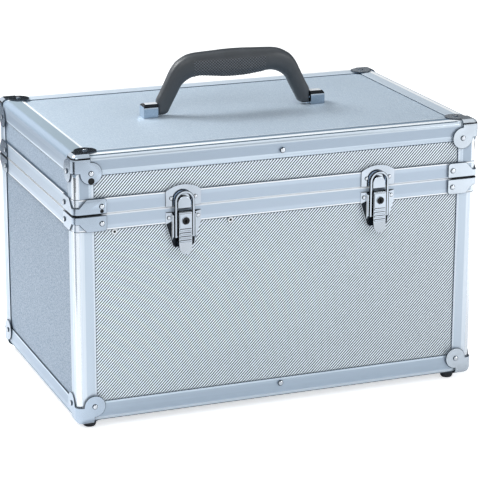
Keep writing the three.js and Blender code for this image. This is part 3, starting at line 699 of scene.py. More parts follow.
class Paints:
    """The finishes of the case, with the painted light and shade on them, each built once."""

    def __init__(self) -> None:
        """Builds the materials."""
        low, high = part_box("bottom_rails")
        _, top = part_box("lid_top_rails")
        half = ((high.x - low.x) / 2, (high.y - low.y) / 2, (top.z - low.z) / 2)
        centre = ((high.x + low.x) / 2, (high.y + low.y) / 2, (top.z + low.z) / 2)
        usual = {"band_from": (9.6 * MM, 10.4 * MM), "lip_from": (17.6 * MM, 18 * MM), "outlined": 0.0}
        # The side rails and the uprights carry their own painted light and shade on the same anodised metal.
        left_right = {
            "light": linear("b4c3d3"), "band": linear("a7b7c8"), "low_band": linear("a7b7c8"),
            "nose_painted_light": linear("8d9fb1"), "shadow": linear("27333f"), "nose_metal": 0.1, "nose_rough": 0.6,
        }
        upright = {
            "light": linear("e2ecf6"), "band": linear("c6d4e2"), "low_band": linear("c6d4e2"),
            "lip": linear("e0eaf4"), "nose_painted_light": linear("eef4fa"), "nose_metal": 0.8,
        }
        tones = ({}, {**left_right, **usual}, {**upright, **usual})
        self.extrusions = [Extrusion(axis, centre, half, **more).material() for axis, more in zip(Axis, tones)]
        self.rims = [RimStrip(axis, centre, half, parting_height()).material() for axis in (Axis.X, Axis.Y)]
        # One embossed sheet, given four tones as painted light and shade for how the lamps fall on each side;
        # its ridges carry full painted light and shade only on the front and back.
        self.upright = EmbossedSheet("upright", 1.0, linear("b6c4ce")).material()
        self.side = EmbossedSheet("side", 0.14, linear("798da3")).material()
        self.lid_side = EmbossedSheet("lid_side", 0.14, linear("8ca0b6")).material()
        self.level = EmbossedSheet("level", 0.14, linear("b7cadc")).material()
        self.corner = PlatedMetal("corner_sheet", linear("b9c7d6"), 0.13, 0.97).material()
        # A paler copy of the corner sheet for the right-hand caps and braces: painted light.
        self.painted_light_corner = PlatedMetal("pale_corner_sheet", linear("d3dde7"), 0.2, 0.7).material()
        # Dark cut borders of the sheets and dark feet of the rivet heads: painted shade.
        self.painted_edge_shade = PlatedMetal("painted_edge_shade", linear("3a4652"), 0.4, 0.6).material()
        # Dark chrome on steep, bent and hidden faces of the fittings: painted shade and painted dark
        # reflections.
        self.dark = PlatedMetal("chrome_painted_shade", linear("23282e"), 0.22, 0.9).material()
        self.rivet = PlatedMetal("bright_rivet", linear("dfe5ec"), 0.1).material()
        self.chrome = PlatedMetal("chrome", linear("cfd9e4"), 0.07, mark=0.05).material()
        self.cast = PlatedMetal("cast_chrome", linear("aab9c8"), 0.08, mark=0.04).material()
        # A bright paint for bracket tops, cheek outsides and eyelet rings: painted highlight.
        self.cast_painted_highlight = PlatedMetal("cast_painted_highlight", linear("eef3f8"), 0.35, 0.25).material()
        self.zinc = PlatedMetal("zinc", linear("aab2bb"), 0.3).material()
        # A near black for sunk borders, pockets, bores and the lock's face: painted shade.
        self.hollow = MouldedPlastic("painted_shade_hollow", linear("101214"), linear("1a1c1f"), 0.75).material()
        self.rubber = MouldedPlastic("rubber", linear("1f2227"), linear("2b2f36"), 0.55).material()
        grip = ScaledPlastic("scaled_grip", linear("33383d"), linear("3d4248"), 0.36, base=top.z)
        self.grip = grip.material()
        self.lining = Lining().material()


def deselect() -> None:
    """Leaves object mode with nothing selected."""
    if bpy.context.object and bpy.context.object.mode != "OBJECT":
        bpy.ops.object.mode_set(mode="OBJECT")
    bpy.ops.object.select_all(action="DESELECT")


def pick(piece: Piece) -> None:
    """Makes a piece the only one that is selected.

    Args:
        piece: The piece.
    """
    deselect()
    piece.select_set(True)
    bpy.context.view_layer.objects.active = piece


@contextmanager
def editing(select: str | None = "SELECT") -> Iterator[None]:
    """Keeps the active piece in edit mode for the lines of a with statement.

    Args:
        select: What is done to the whole mesh at first, or None to keep what is selected.

    Returns:
        What the with statement needs.
    """
    bpy.ops.object.mode_set(mode="EDIT")
    if select:
        bpy.ops.mesh.select_all(action=select)
    yield
    bpy.ops.object.mode_set(mode="OBJECT")


def face_out() -> None:
    """Selects the whole mesh in edit mode and turns its faces outwards."""
    bpy.ops.mesh.select_all(action="SELECT")
    bpy.ops.mesh.normals_make_consistent(inside=False)


def modified(piece: Piece, kind: str, **settings: Any) -> Piece:
    """Adds a modifier to a piece and applies it.

    Args:
        piece: The piece.
        kind: The modifier's type.
        settings: Its properties.

    Returns:
        The piece.
    """
    pick(piece)
    bpy.ops.object.modifier_add(type=kind)
    modifier = piece.modifiers[-1]
    for key, value in settings.items():
        setattr(modifier, key, value)
    bpy.ops.object.modifier_apply(modifier=modifier.name)
    return piece


def linked(name: str, data: bpy.types.ID) -> Piece:
    """Puts a mesh, a lamp or a camera in the scene.

    Args:
        name: The new object's name.
        data: What it shows.

    Returns:
        The object.
    """
    thing = bpy.data.objects.new(name, data)
    bpy.context.scene.collection.objects.link(thing)
    return thing


def added(name: str) -> Piece:
    """Names the primitive that was just added and puts its place in its mesh.

    Args:
        name: Its name.

    Returns:
        The piece.
    """
    piece = bpy.context.object
    piece.name = piece.data.name = name
    bpy.ops.object.transform_apply(location=True, rotation=True, scale=True)
    return piece


def block(name: str, low: Sequence[float], high: Sequence[float]) -> Piece:
    """A box between two corners.

    Args:
        name: The piece's name.
        low: The lowest corner.
        high: The highest corner.

    Returns:
        The box.
    """
    deselect()
    bpy.ops.mesh.primitive_cube_add(size=1, location=[(a + b) / 2 for a, b in zip(low, high)])
    bpy.context.object.scale = [b - a for a, b in zip(low, high)]
    return added(name)


def slab(name: str, outline: Sequence[Point], axis: Axis, span: Point) -> Piece:
    """An outline in two axes, extruded along the third.

    Args:
        name: The piece's name.
        outline: Points in the other two axes, in X, Y, Z order.
        axis: The direction of the extrusion.
        span: Where it starts and ends.

    Returns:
        The closed piece.
    """
    deselect()
    bpy.ops.mesh.primitive_circle_add(vertices=len(outline), radius=1, fill_type="NGON")
    piece = added(name)
    for vertex, (a, b) in zip(piece.data.vertices, outline):
        place = [a, b]
        place.insert(axis.value, span[0])
        vertex.co = place
    move = [0.0, 0.0, 0.0]
    move[axis.value] = span[1] - span[0]
    with editing():
        bpy.ops.mesh.extrude_region_move(TRANSFORM_OT_translate={"value": move})
        face_out()
    return piece


def turned(name: str, profile: Sequence[Point], steps: int) -> Piece:
    """A profile of radii and heights turned round Z, from its underside to its top.

    Args:
        name: The piece's name.
        profile: Radius and height of each ring.
        steps: Number of sides.

    Returns:
        The closed piece.
    """
    deselect()
    radius, height = profile[0]
    foot = (0, 0, height)
    bpy.ops.mesh.primitive_circle_add(vertices=steps, radius=radius, fill_type="NGON", location=foot)
    piece = added(name)
    with editing():
        for after, up in profile[1:]:
            bpy.ops.mesh.extrude_region_move(TRANSFORM_OT_translate={"value": (0, 0, up - height)})
            share = after / radius
            bpy.ops.transform.resize(value=(share, share, 1), center_override=(0, 0, up))
            radius, height = after, up
        face_out()
    return piece


def wrapped(name: str, rings: Sequence[Sequence[Place]]) -> Piece:
    """A grid wrapped over closed rings of points, with its two ends filled.

    Args:
        name: The piece's name.
        rings: The rings, with equal numbers of points.

    Returns:
        The closed piece.
    """
    deselect()
    columns = len(rings[0])
    bpy.ops.mesh.primitive_grid_add(x_subdivisions=columns, y_subdivisions=len(rings) - 1, size=1)
    piece = added(name)
    places = [value for ring in rings for point in [*ring, ring[0]] for value in point]
    piece.data.vertices.foreach_set("co", places)
    with editing():
        bpy.ops.mesh.remove_doubles(threshold=0.001 * MM)
        bpy.ops.mesh.select_all(action="DESELECT")
        bpy.ops.mesh.select_non_manifold()
        bpy.ops.mesh.fill_holes(sides=0)
        face_out()
    return piece


def combined(first: Piece, second: Piece, operation: str) -> Piece:
    """Joins, cuts or crosses two pieces.

    Args:
        first: The piece that stays.
        second: The piece that is used up.
        operation: UNION, DIFFERENCE or INTERSECT.

    Returns:
        The first piece.
    """
    modified(first, "BOOLEAN", operation=operation, solver="EXACT", object=second)
    bpy.data.objects.remove(second)
    return first


def eased(piece: Piece, width: float, segments: int = 2, angle: float = 40.0) -> Piece:
    """Rounds the sharp edges of a piece.

    Args:
        piece: The piece.
        width: The rounding in metres.
        segments: Steps across the rounding.
        angle: Edges that turn by more degrees than this are rounded.

    Returns:
        The piece.
    """
    return modified(piece, "BEVEL", width=width, segments=segments, limit_method="ANGLE",
                    angle_limit=math.radians(angle))


def cleaned(piece: Piece, apart: float = 0.002 * MM, flat: float = 0.4) -> Piece:
    """Merges doubled points and dissolves the edges inside flat faces.

    Args:
        piece: The piece.
        apart: Points that are nearer than this are merged.
        flat: Edges that turn by fewer degrees than this are dissolved.

    Returns:
        The piece.
    """
    pick(piece)
    with editing():
        bpy.ops.mesh.remove_doubles(threshold=apart)
        bpy.ops.mesh.dissolve_limited(angle_limit=math.radians(flat))
    return piece


def shaded(piece: Piece, angle: float = 35.0) -> Piece:
    """Shades a piece smooth.

    Args:
        piece: The piece.
        angle: Edges that turn by more degrees than this stay sharp.

    Returns:
        The piece.
    """
    pick(piece)
    bpy.ops.object.shade_smooth_by_angle(angle=math.radians(angle))
    return modified(piece, "WEIGHTED_NORMAL", keep_sharp=True)


def copied(piece: Piece, name: str, matrix: Matrix) -> Piece:
    """A copy with its own mesh, shaded anew where it is mirrored.

    Args:
        piece: The pattern.
        name: The copy's name.
        matrix: Where it goes.

    Returns:
        The copy.
    """
    copy = piece.copy()
    copy.data = piece.data.copy()
    copy.name = copy.data.name = name
    bpy.context.scene.collection.objects.link(copy)
    copy.data.transform(matrix)
    if matrix.determinant() < 0:
        pick(copy)
        with editing():
            bpy.ops.mesh.flip_normals()
        bpy.ops.mesh.customdata_custom_splitnormals_clear()
        shaded(copy, 40.0)
    return copy


def from_node(node: str, name: str) -> Piece:
    """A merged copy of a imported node.

    Args:
        node: The node's name.
        name: The copy's name.

    Returns:
        The copy, without a material.
    """
    copy = linked(name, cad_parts[node].data.copy())
    copy.data.materials.clear()
    pick(copy)
    if copy.data.has_custom_normals:
        bpy.ops.mesh.customdata_custom_splitnormals_clear()
    return cleaned(copy)


def drilled(piece: Piece, middle: Point, radius: float, face: float, inside: Material,
            depth: float = 0.9 * MM, steps: int = 24) -> None:
    """Sinks a round pocket into the front of a sheet, its inside in painted shade.

    Args:
        piece: The sheet.
        middle: The pocket's middle across and up.
        radius: Its radius.
        face: Where the sheet's front lies.
        inside: The material of the pocket.
        depth: How deep it is.
        steps: Number of its sides.
    """
    drill = slab("drill", circle(middle, radius, steps), Axis.Y, (face - radius, face + depth))
    combined(piece, drill, "DIFFERENCE")
    piece.data.materials.append(inside)
    slack = 0.05 * MM
    for polygon in piece.data.polygons:
        away = math.hypot(polygon.center.x - middle[0], polygon.center.z - middle[1])
        if away < radius + slack and slack < polygon.center.y - face < depth + slack:
            polygon.material_index = len(piece.data.materials) - 1


def painted(piece: Piece, *materials: Material) -> Piece:
    """Gives a piece its materials.

    Args:
        piece: The piece.
        materials: The materials, in the order of their numbers.

    Returns:
        The piece.
    """
    piece.data.materials.clear()
    for material in materials:
        piece.data.materials.append(material)
    return piece


def assigned(piece: Piece, choose: Choice) -> Piece:
    """Gives each face of a piece one of its materials.

    Args:
        piece: The piece.
        choose: Gives the material's number for a face.

    Returns:
        The piece.
    """
    for face in piece.data.polygons:
        face.material_index = choose(face)
    return piece


def placed(piece: Piece, body: str, slot: Slot, *nodes: str) -> Piece:
    """Rides a piece on its body and hides the nodes that it stands for.

    Args:
        piece: The piece.
        body: Its body.
        slot: Its material slot; not used.
        nodes: The nodes that it stands for, if any.

    Returns:
        The piece.
    """
    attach(piece, body)
    if nodes:
        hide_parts(*nodes)
    log.info("%s rides on %s", piece.name, body)
    return piece


@dataclass
class Studio:
    """White room, dark flags that only glossy metal sees, soft lamps and the photograph's camera."""

    target: Place = (0.0079, 0.002, 0.1343)
    distance: float = 2.23
    azimuth: float = -21.3
    elevation: float = 16.9
    roll: float = 0.21
    focal_pixels: float = 2156.0
    image_pixels: float = 480.0
    sensor: float = 36.0
    view_end: float = 60.0
    floor_half: float = 12.0
    floor_tones: tuple[Colour, Colour] = (linear("f4f5f7"), linear("f7f8f9"))
    floor_grain: float = 3.0
    floor_rough: float = 0.9
    floor_glow: float = 0.62
    ambient: float = 0.5
    ambient_tint: Colour = (0.96, 0.98, 1.0)
    mirror_glow: float = 0.04
    side_glow: float = 0.45
    side_glow_from: Point = (0.1, 0.8)
    flag_tint: Colour = (0.85, 0.97, 1.12)
    flag_fade: float = 0.8
    flag_grain: float = 2.0
    flag_sides: int = 72
    flags: tuple[tuple[str, float, float, float, float, float, float], ...] = (
        ("flag_behind", 0.03, 3.2, 0.2, 3.4, 50.0, 88.0),
        ("flag_back", 0.4, 3.4, 0.15, 3.7, 0.0, 92.0),
        ("flag_ahead", 0.03, 3.4, 1.5, 3.4, 190.0, 345.0),
        ("flag_side", 0.3, 0.95, 0.0, 0.33, 94.0, 132.0),
        ("flag_left", 0.03, 0.62, 0.115, 0.22, 188.0, 214.0),
        ("flag_left_low", 0.45, 0.62, 0.0, 0.11, 190.0, 208.0),
        ("flag_right", 0.03, 0.62, 0.115, 0.22, 10.0, 32.0),
    )
    lamps: tuple[tuple[str, Place, float, float], ...] = (
        ("lamp_key", (-0.9, -2.2, 2.0), 1.6, 22.0),
        ("lamp_fill", (2.2, -2.0, 1.5), 1.6, 24.0),
        ("lamp_top", (-0.62, 0.5, 1.05), 0.5, 12.0),
    )

    def camera(self) -> None:
        """Puts the camera where the photograph was taken."""
        a, e, r = (math.radians(v) for v in (self.azimuth, self.elevation, self.roll))
        back = Vector((math.sin(a) * math.cos(e), -math.cos(a) * math.cos(e), math.sin(e)))
        right = Vector((0, 0, 1)).cross(back).normalized()
        up = back.cross(right)
        turned_right = right * math.cos(r) + up * math.sin(r)
        turned_up = up * math.cos(r) - right * math.sin(r)
        data = bpy.data.cameras.new("camera")
        data.sensor_width = self.sensor
        data.lens = self.focal_pixels / self.image_pixels * self.sensor
        data.clip_end = self.view_end
        eye = linked("camera", data)
        spin = Matrix((turned_right, turned_up, back)).transposed().to_4x4()
        eye.matrix_world = Matrix.Translation(Vector(self.target) + back * self.distance) @ spin
        bpy.context.scene.camera = eye

    def floor(self) -> None:
        """Lays a white floor that keeps the case's shadow."""
        deselect()
        bpy.ops.mesh.primitive_plane_add(size=2 * self.floor_half, location=(0, 0, 0))
        piece = added("studio_floor")
        shader = Shader("studio_floor")
        grain = shader.noise(shader.place(), self.floor_grain)
        shader.feed("Base Color", shader.mixed(grain, *self.floor_tones))
        shader.feed("Roughness", self.floor_rough)
        shader.feed("Specular IOR Level", 0.0)
        path = shader.add("ShaderNodeLightPath").socket.node
        rays = ("Is Camera Ray", "Is Glossy Ray", "Is Transmission Ray")
        seen = [Wire(shader, path.outputs[ray]) for ray in rays]
        beside = shader.parts(shader.place())[0].ramp(*self.side_glow_from)
        mirrored = self.mirror_glow + beside * self.side_glow
        strength = seen[0] * self.floor_glow + (seen[1] + seen[2]).least(1.0) * mirrored
        glow = shader.nodes.new("ShaderNodeEmission")
        glow.inputs["Color"].default_value = WHITE
        shader.put(glow.inputs["Strength"], strength)
        both = shader.nodes.new("ShaderNodeAddShader")
        shader.links.new(shader.surface.outputs[0], both.inputs[0])
        shader.links.new(glow.outputs[0], both.inputs[1])
        shader.links.new(both.outputs[0], shader.nodes["Material Output"].inputs["Surface"])
        painted(piece, shader.material)

    def world(self) -> None:
        """Lights the case evenly and shows white behind it."""
        world = bpy.data.worlds.new("studio")
        bpy.context.scene.world = world
        world.use_nodes = True
        nodes, links = world.node_tree.nodes, world.node_tree.links
        light = nodes["Background"]
        light.inputs["Color"].default_value = (*self.ambient_tint, 1.0)
        light.inputs["Strength"].default_value = self.ambient
        white = nodes.new("ShaderNodeBackground")
        white.inputs["Color"].default_value = WHITE
        path = nodes.new("ShaderNodeLightPath")
        total = path.outputs["Is Camera Ray"]
        for other in ("Is Glossy Ray", "Is Transmission Ray"):
            more = nodes.new("ShaderNodeMath")
            more.operation = "ADD"
            more.use_clamp = True
            links.new(total, more.inputs[0])
            links.new(path.outputs[other], more.inputs[1])
            total = more.outputs[0]
        mix = nodes.new("ShaderNodeMixShader")
        links.new(total, mix.inputs[0])
        links.new(light.outputs[0], mix.inputs[1])
        links.new(white.outputs[0], mix.inputs[2])
        links.new(mix.outputs[0], nodes["World Output"].inputs["Surface"])

    def lamp(self, name: str, place: Place, size: float, power: float) -> None:
        """Adds a square lamp that looks at the case.

        Args:
            name: The lamp's name.
            place: Where it hangs, in metres.
            size: Its side.
            power: Its strength in watts.
        """
        data = bpy.data.lights.new(name, "AREA")
        data.size = size
        data.energy = power
        lamp = linked(name, data)
        lamp.location = place
        lamp.rotation_mode = "QUATERNION"
        lamp.rotation_quaternion = (Vector(place) - Vector(self.target)).to_track_quat("Z", "Y")

    def flag(self, name: str, tone: float, radius: float, foot: float, top: float,
             first: float, last: float) -> None:
        """Bends a grey flag round the case, where only glossy metal sees it.

        Args:
            name: The flag's name.
            tone: Its grey, from 0 to 1.
            radius: Its distance from the case's middle.
            foot: Height of its lower edge.
            top: Height of its upper edge.
            first: Its first direction in degrees from +X.
            last: Its last direction.
        """
        deselect()
        bpy.ops.mesh.primitive_cylinder_add(vertices=self.flag_sides, radius=radius, depth=top - foot,
                                            end_fill_type="NOTHING", location=(0, 0, (foot + top) / 2))
        piece = added(name)
        with editing("DESELECT"):
            bpy.ops.mesh.select_mode(type="FACE")
        for face in piece.data.polygons:
            turn = math.degrees(math.atan2(face.center.y, face.center.x)) % 360
            face.select = not first <= turn <= last
        with editing(None):
            bpy.ops.mesh.delete(type="FACE")
            bpy.ops.mesh.select_mode(type="VERT")
        shader = Shader(name)
        shade = shader.noise(shader.place(), self.flag_grain)
        tinted = tuple(tone * share for share in self.flag_tint)
        shader.feed("Base Color", shader.mixed(shade, tinted, (tone * self.flag_fade,) * 3))
        shader.feed("Roughness", 1.0)
        shader.feed("Specular IOR Level", 0.0)
        painted(piece, shader.material)
        piece.visible_camera = piece.visible_diffuse = piece.visible_shadow = False

    def build(self) -> None:
        """Makes the whole studio."""
        self.camera()
        self.floor()
        self.world()
        for flag in self.flags:
            self.flag(*flag)
        for lamp in self.lamps:
            self.lamp(*lamp)
        bpy.context.scene.view_settings.view_transform = "Standard"


@dataclass
class EdgeFrame:
    """Extruded rails, posts and rims that hold the panels."""

    paints: Paints
    edge: float = 0.22 * MM
    rim_edge: float = 0.45 * MM
    eased_turn: float = 50.0
    sharp_turn: float = 35.0

    def run_of(self, face: Face, half: Vector, centre: Vector, low: float, high: float) -> int:
        """Which way the profile runs under a face of a ring.

        Args:
            face: The face.
            half: Half the size of the case.
            centre: The middle of the case.
            low: Lowest height of the level rails.
            high: Highest height of the level rails.

        Returns:
            The number of the axis.
        """
        place = face.center - centre
        if not low <= face.center.z <= high:
            return Axis.Z.value
        from_side, from_front = half.x - abs(place.x), half.y - abs(place.y)
        return Axis.Y.value if from_side < from_front else Axis.X.value

    def dressed(self, node: str, choose: Choice) -> Piece:
        """A node's copy with eased edges, smooth noses and crisp lips.

        Args:
            node: The node.
            choose: Gives the material's number for a face.

        Returns:
            The piece.
        """
        rim = node.endswith("rim")
        edge, segments = (self.rim_edge, 2) if rim else (self.edge, 1)
        piece = eased(from_node(node, f"{node}_bright"), edge, segments, self.eased_turn)
        painted(piece, *(self.paints.rims if rim else self.paints.extrusions))
        assigned(piece, choose)
        return shaded(piece, self.sharp_turn)

    def build(self) -> None:
        """Dresses every profile."""
        low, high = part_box("bottom_rails")
        _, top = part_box("lid_top_rails")
        half, centre = (high - low) / 2, (high + low) / 2
        rings = {
            "bottom_rails": ("case_body", low.z, low.z + FLANGE),
            "body_rim": ("case_body", low.z, top.z),
            "lid_rim": ("lid", low.z, top.z),
            "lid_top_rails": ("lid", top.z - FLANGE, top.z),
        }
        for node, (body, floor, roof) in rings.items():
            choose = lambda face: self.run_of(face, half, centre, floor, roof)
            placed(self.dressed(node, choose), body, Slot.FRAME, node)
        for name, _, _ in corner_names():
            node = f"body_post_{name}"
            placed(self.dressed(node, lambda face: Axis.Z.value), "case_body", Slot.FRAME, node)


@dataclass
class Panels:
    """Embossed outer sheets, each a grid of low ridges in its frame, with a felt lining inside."""

    paints: Paints
    trench: float = 0.7 * MM
    trench_depth: float = 0.5 * MM
    spacing: float = 1.62 * MM
    relief: float = 0.2 * MM
    inside_turn: float = 0.9

    def window(self, node: str, axis: Axis) -> list[Point]:
        """The part of a panel that its frame leaves open.

        Args:
            node: The panel's node.
            axis: The direction that it faces.

        Returns:
            Its start and end in each of the panel's two axes.
        """
        low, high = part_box("bottom_rails")
        _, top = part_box("lid_top_rails")
        parting, edge, rim = parting_height(), FLANGE + self.trench, RIM_HEIGHT + self.trench
        heights = (low.z + edge, parting - rim) if node.startswith("body") else (parting + rim, top.z - edge)
        spans = [(low.x + edge, high.x - edge), (low.y + edge, high.y - edge), heights]
        return [spans[a] for a in others(axis)]

    def sheet(self, node: str, axis: Axis, side: int) -> Piece:
        """Models one panel: ridged in its window, sunk at the frame, where its border takes painted shade, and
        flat inside.

        Args:
            node: The node that it stands for.
            axis: The direction that it faces.
            side: -1 or 1, the sign of that direction.

        Returns:
            The closed piece, its grid in step with its UV map.
        """
        low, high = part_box(node)
        spans = self.window(node, axis)
        counts = [round((end - start) / self.spacing) for start, end in spans]
        steps = [(end - start) / count for (start, end), count in zip(spans, counts)]
        face, back = (high, low) if side > 0 else (low, high)
        deselect()
        bpy.ops.mesh.primitive_grid_add(x_subdivisions=counts[0], y_subdivisions=counts[1], size=1)
        piece = added(f"{node}_sheet")
        ridged = len(piece.data.polygons)
        places = []
        for j in range(counts[1] + 1):
            for i in range(counts[0] + 1):
                inner = 0 < i < counts[0] and 0 < j < counts[1]
                place = [spans[0][0] + i * steps[0], spans[1][0] + j * steps[1]]
                sunk = (i + j) % 2 or not inner
                place.insert(axis.value, face[axis.value] - side * self.relief * sunk)
                places.extend(place)
        piece.data.vertices.foreach_set("co", places)
        self.close(piece, axis, side, spans, (low, high), back)
        # Material 2, the sunk border and the walls, is painted shade.
        for polygon in piece.data.polygons:
            inside = polygon.normal[axis.value] * side < -self.inside_turn
            polygon.material_index = 0 if polygon.index < ridged else 1 if inside else 2
        layer = piece.data.uv_layers.active.data
        scales = list(zip(others(axis), spans, steps))
        for loop in piece.data.loops:
            place = piece.data.vertices[loop.vertex_index].co
            layer[loop.index].uv = [(place[a] - start) / step for a, (start, _), step in scales]
        pick(piece)
        with editing():
            bpy.ops.mesh.quads_convert_to_tris(quad_method="FIXED", ngon_method="BEAUTY")
        return piece

    def close(self, piece: Piece, axis: Axis, side: int, spans: Sequence[Point],
              box: tuple[Vector, Vector], back: Vector) -> None:
        """Sinks the border of a ridged grid, runs it out under the frame and closes the back.

        Args:
            piece: The grid.
            axis: The direction that it faces.
            side: The sign of that direction.
            spans: The grid's extent in its two axes.
            box: The lowest and highest corners of the panel.
            back: A corner on the panel's inner face.
        """
        sink, wide, shift, rest = [0.0] * 3, [1.0] * 3, [0.0] * 3, [0.0] * 3
        sink[axis.value] = -side * self.trench_depth
        middle = (box[0] + box[1]) / 2
        for (start, end), a in zip(spans, others(axis)):
            middle[a] = (start + end) / 2
            wide[a] = (box[1][a] - box[0][a]) / (end - start)
        pick(piece)
        with editing("DESELECT"):
            bpy.ops.mesh.select_non_manifold()
            bpy.ops.mesh.extrude_region_move(TRANSFORM_OT_translate={"value": sink})
            bpy.ops.mesh.extrude_region_move(TRANSFORM_OT_translate={"value": (0, 0, 0)})
            bpy.ops.transform.resize(value=wide, center_override=middle)
        border = [v.co for v in piece.data.vertices if v.select]
        for a in others(axis):
            along = [place[a] for place in border]
            shift[a] = (box[0][a] + box[1][a]) / 2 - (min(along) + max(along)) / 2
        rest[axis.value] = back[axis.value] - border[0][axis.value]
        with editing(None):
            bpy.ops.transform.translate(value=shift)
            bpy.ops.mesh.extrude_region_move(TRANSFORM_OT_translate={"value": rest})
            bpy.ops.mesh.edge_face_add()
            face_out()

    def build(self) -> None:
        """Builds the ten panels."""
        p = self.paints
        for part, body in (("body", "case_body"), ("lid", "lid")):
            beside = p.side if part == "body" else p.lid_side
            sides = (("front", Axis.Y, -1, p.upright), ("back", Axis.Y, 1, p.upright),
                     ("left", Axis.X, -1, beside), ("right", Axis.X, 1, beside))
            level = ("bottom", Axis.Z, -1, p.level) if part == "body" else ("top", Axis.Z, 1, p.level)
            for name, axis, side, sheet in (*sides, level):
                node = f"{part}_{name}_panel"
                piece = painted(self.sheet(node, axis, side), sheet, p.lining, p.hollow)
                placed(piece, body, Slot.PANEL, node)


@dataclass
class Rivets:
    """Domed rivet heads, modelled once and copied."""

    paints: Paints
    radius: float = 2.7 * MM
    height: float = 1.3 * MM
    sink: float = 0.3 * MM
    steps: int = 24
    foot_turn: float = 0.62
    amid: float = 0.0
    amid_radius: float = 2.9 * MM
    amid_rise: float = 1.1
    amid_bottom: float = 15.5 * MM
    amid_top: float = 12 * MM
    eyelets: tuple[Point, ...] = ((-169.7 * MM, 18.6 * MM), (-52.5 * MM, 19 * MM))
    eyelet_radius: float = 3.1 * MM
    eyelet_bore: float = 0.4
    eyelet_shares: tuple[Point, ...] = (
        (1, -0.3), (1, 0.25), (0.92, 0.6), (0.75, 0.8), (0.52, 0.75), (0.4, 0.5), (0.36, 0.2),
    )
    dome: tuple[Point, ...] = ((1.0, 0.0), (1.0, 0.22), (0.93, 0.5), (0.76, 0.78), (0.5, 0.94), (0.22, 1.0))
    head: Piece | None = field(default=None, init=False)

    def pattern(self) -> Piece:
        """The head that the others are copied from, of unit radius and height.

        Returns:
            The pattern.
        """
        if self.head is None:
            profile = [(1.0, -self.sink / self.height), *self.dome]
            head = shaded(turned("rivet_pattern", profile, self.steps))
            # Painted shade on the steep foot of the head: a dark ring round the dome.
            painted(head, self.paints.rivet, self.paints.painted_edge_shade)
            self.head = assigned(head, lambda face: int(abs(face.normal.z) < self.foot_turn))
            self.head.hide_render = True
        return self.head

    def add(self, name: str, body: str, place: Sequence[float], out: Sequence[float], slot: Slot,
            radius: float | None = None, height: float | None = None) -> Piece:
        """Sets a rivet head.

        Args:
            name: Its name.
            body: The body that it rides on.
            place: The middle of its seat.
            out: The direction that it points in.
            slot: Its material slot.
            radius: Its radius, if not the usual one.
            height: Its height, if not the usual one.

        Returns:
            The head.
        """
        r, h = radius or self.radius, height or self.height
        turn = Vector(out).to_track_quat("Z", "Y").to_matrix().to_4x4()
        matrix = Matrix.Translation(Vector(place)) @ turn @ Matrix.Diagonal((r, r, h, 1))
        head = copied(self.pattern(), name, matrix)
        head.hide_render = False
        return placed(head, body, slot)

    def eyelet(self, name: str, body: str, place: Place) -> None:
        """Sets a small hollow screw head that faces the front.

        Args:
            name: Its name.
            body: The body that it rides on.
            place: The middle of its seat.
        """
        profile = [(r * self.eyelet_radius, h * self.height) for r, h in self.eyelet_shares]
        piece = shaded(turned(name, profile, self.steps))
        painted(piece, self.paints.cast_painted_highlight, self.paints.hollow, self.paints.painted_edge_shade)
        assigned(piece, self.eyelet_face)
        piece.data.transform(Matrix.Translation(Vector(place)) @ TO_FRONT)
        placed(piece, body, Slot.ZINC)

    def eyelet_face(self, face: Face) -> int:
        """1 for the hollow of an eyelet, 2 for its steep foot, both in painted shade, 0 for its ring, in a
        painted highlight.

        Args:
            face: The face, before the eyelet is turned to the front.

        Returns:
            The material's number.
        """
        if math.hypot(face.center.x, face.center.y) < self.eyelet_radius * self.eyelet_bore:
            return 1
        return 2 * (abs(face.normal.z) < self.foot_turn)

    def build_extra(self) -> None:
        """Sets the rivets amid the front rails and the two small screws in the front panel."""
        low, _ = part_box("bottom_rails")
        _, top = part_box("lid_top_rails")
        ups = (("bottom", "case_body", low.z + self.amid_bottom), ("top", "lid", top.z - self.amid_top))
        for name, body, up in ups:
            self.add(f"rivet_amid_{name}_front", body, (self.amid, low.y, up), (0, -1, 0), Slot.FRAME,
                     self.amid_radius, self.height * self.amid_rise)
        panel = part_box("body_front_panel")[0].y
        for number, (x, down) in enumerate(self.eyelets, 1):
            self.eyelet(f"panel_screw_{number}", "case_body", (x, panel, parting_height() - down))

    def drop_pattern(self) -> None:
        """Removes the pattern once all heads are set."""
        if self.head is not None:
            bpy.data.objects.remove(self.head)
            self.head = None


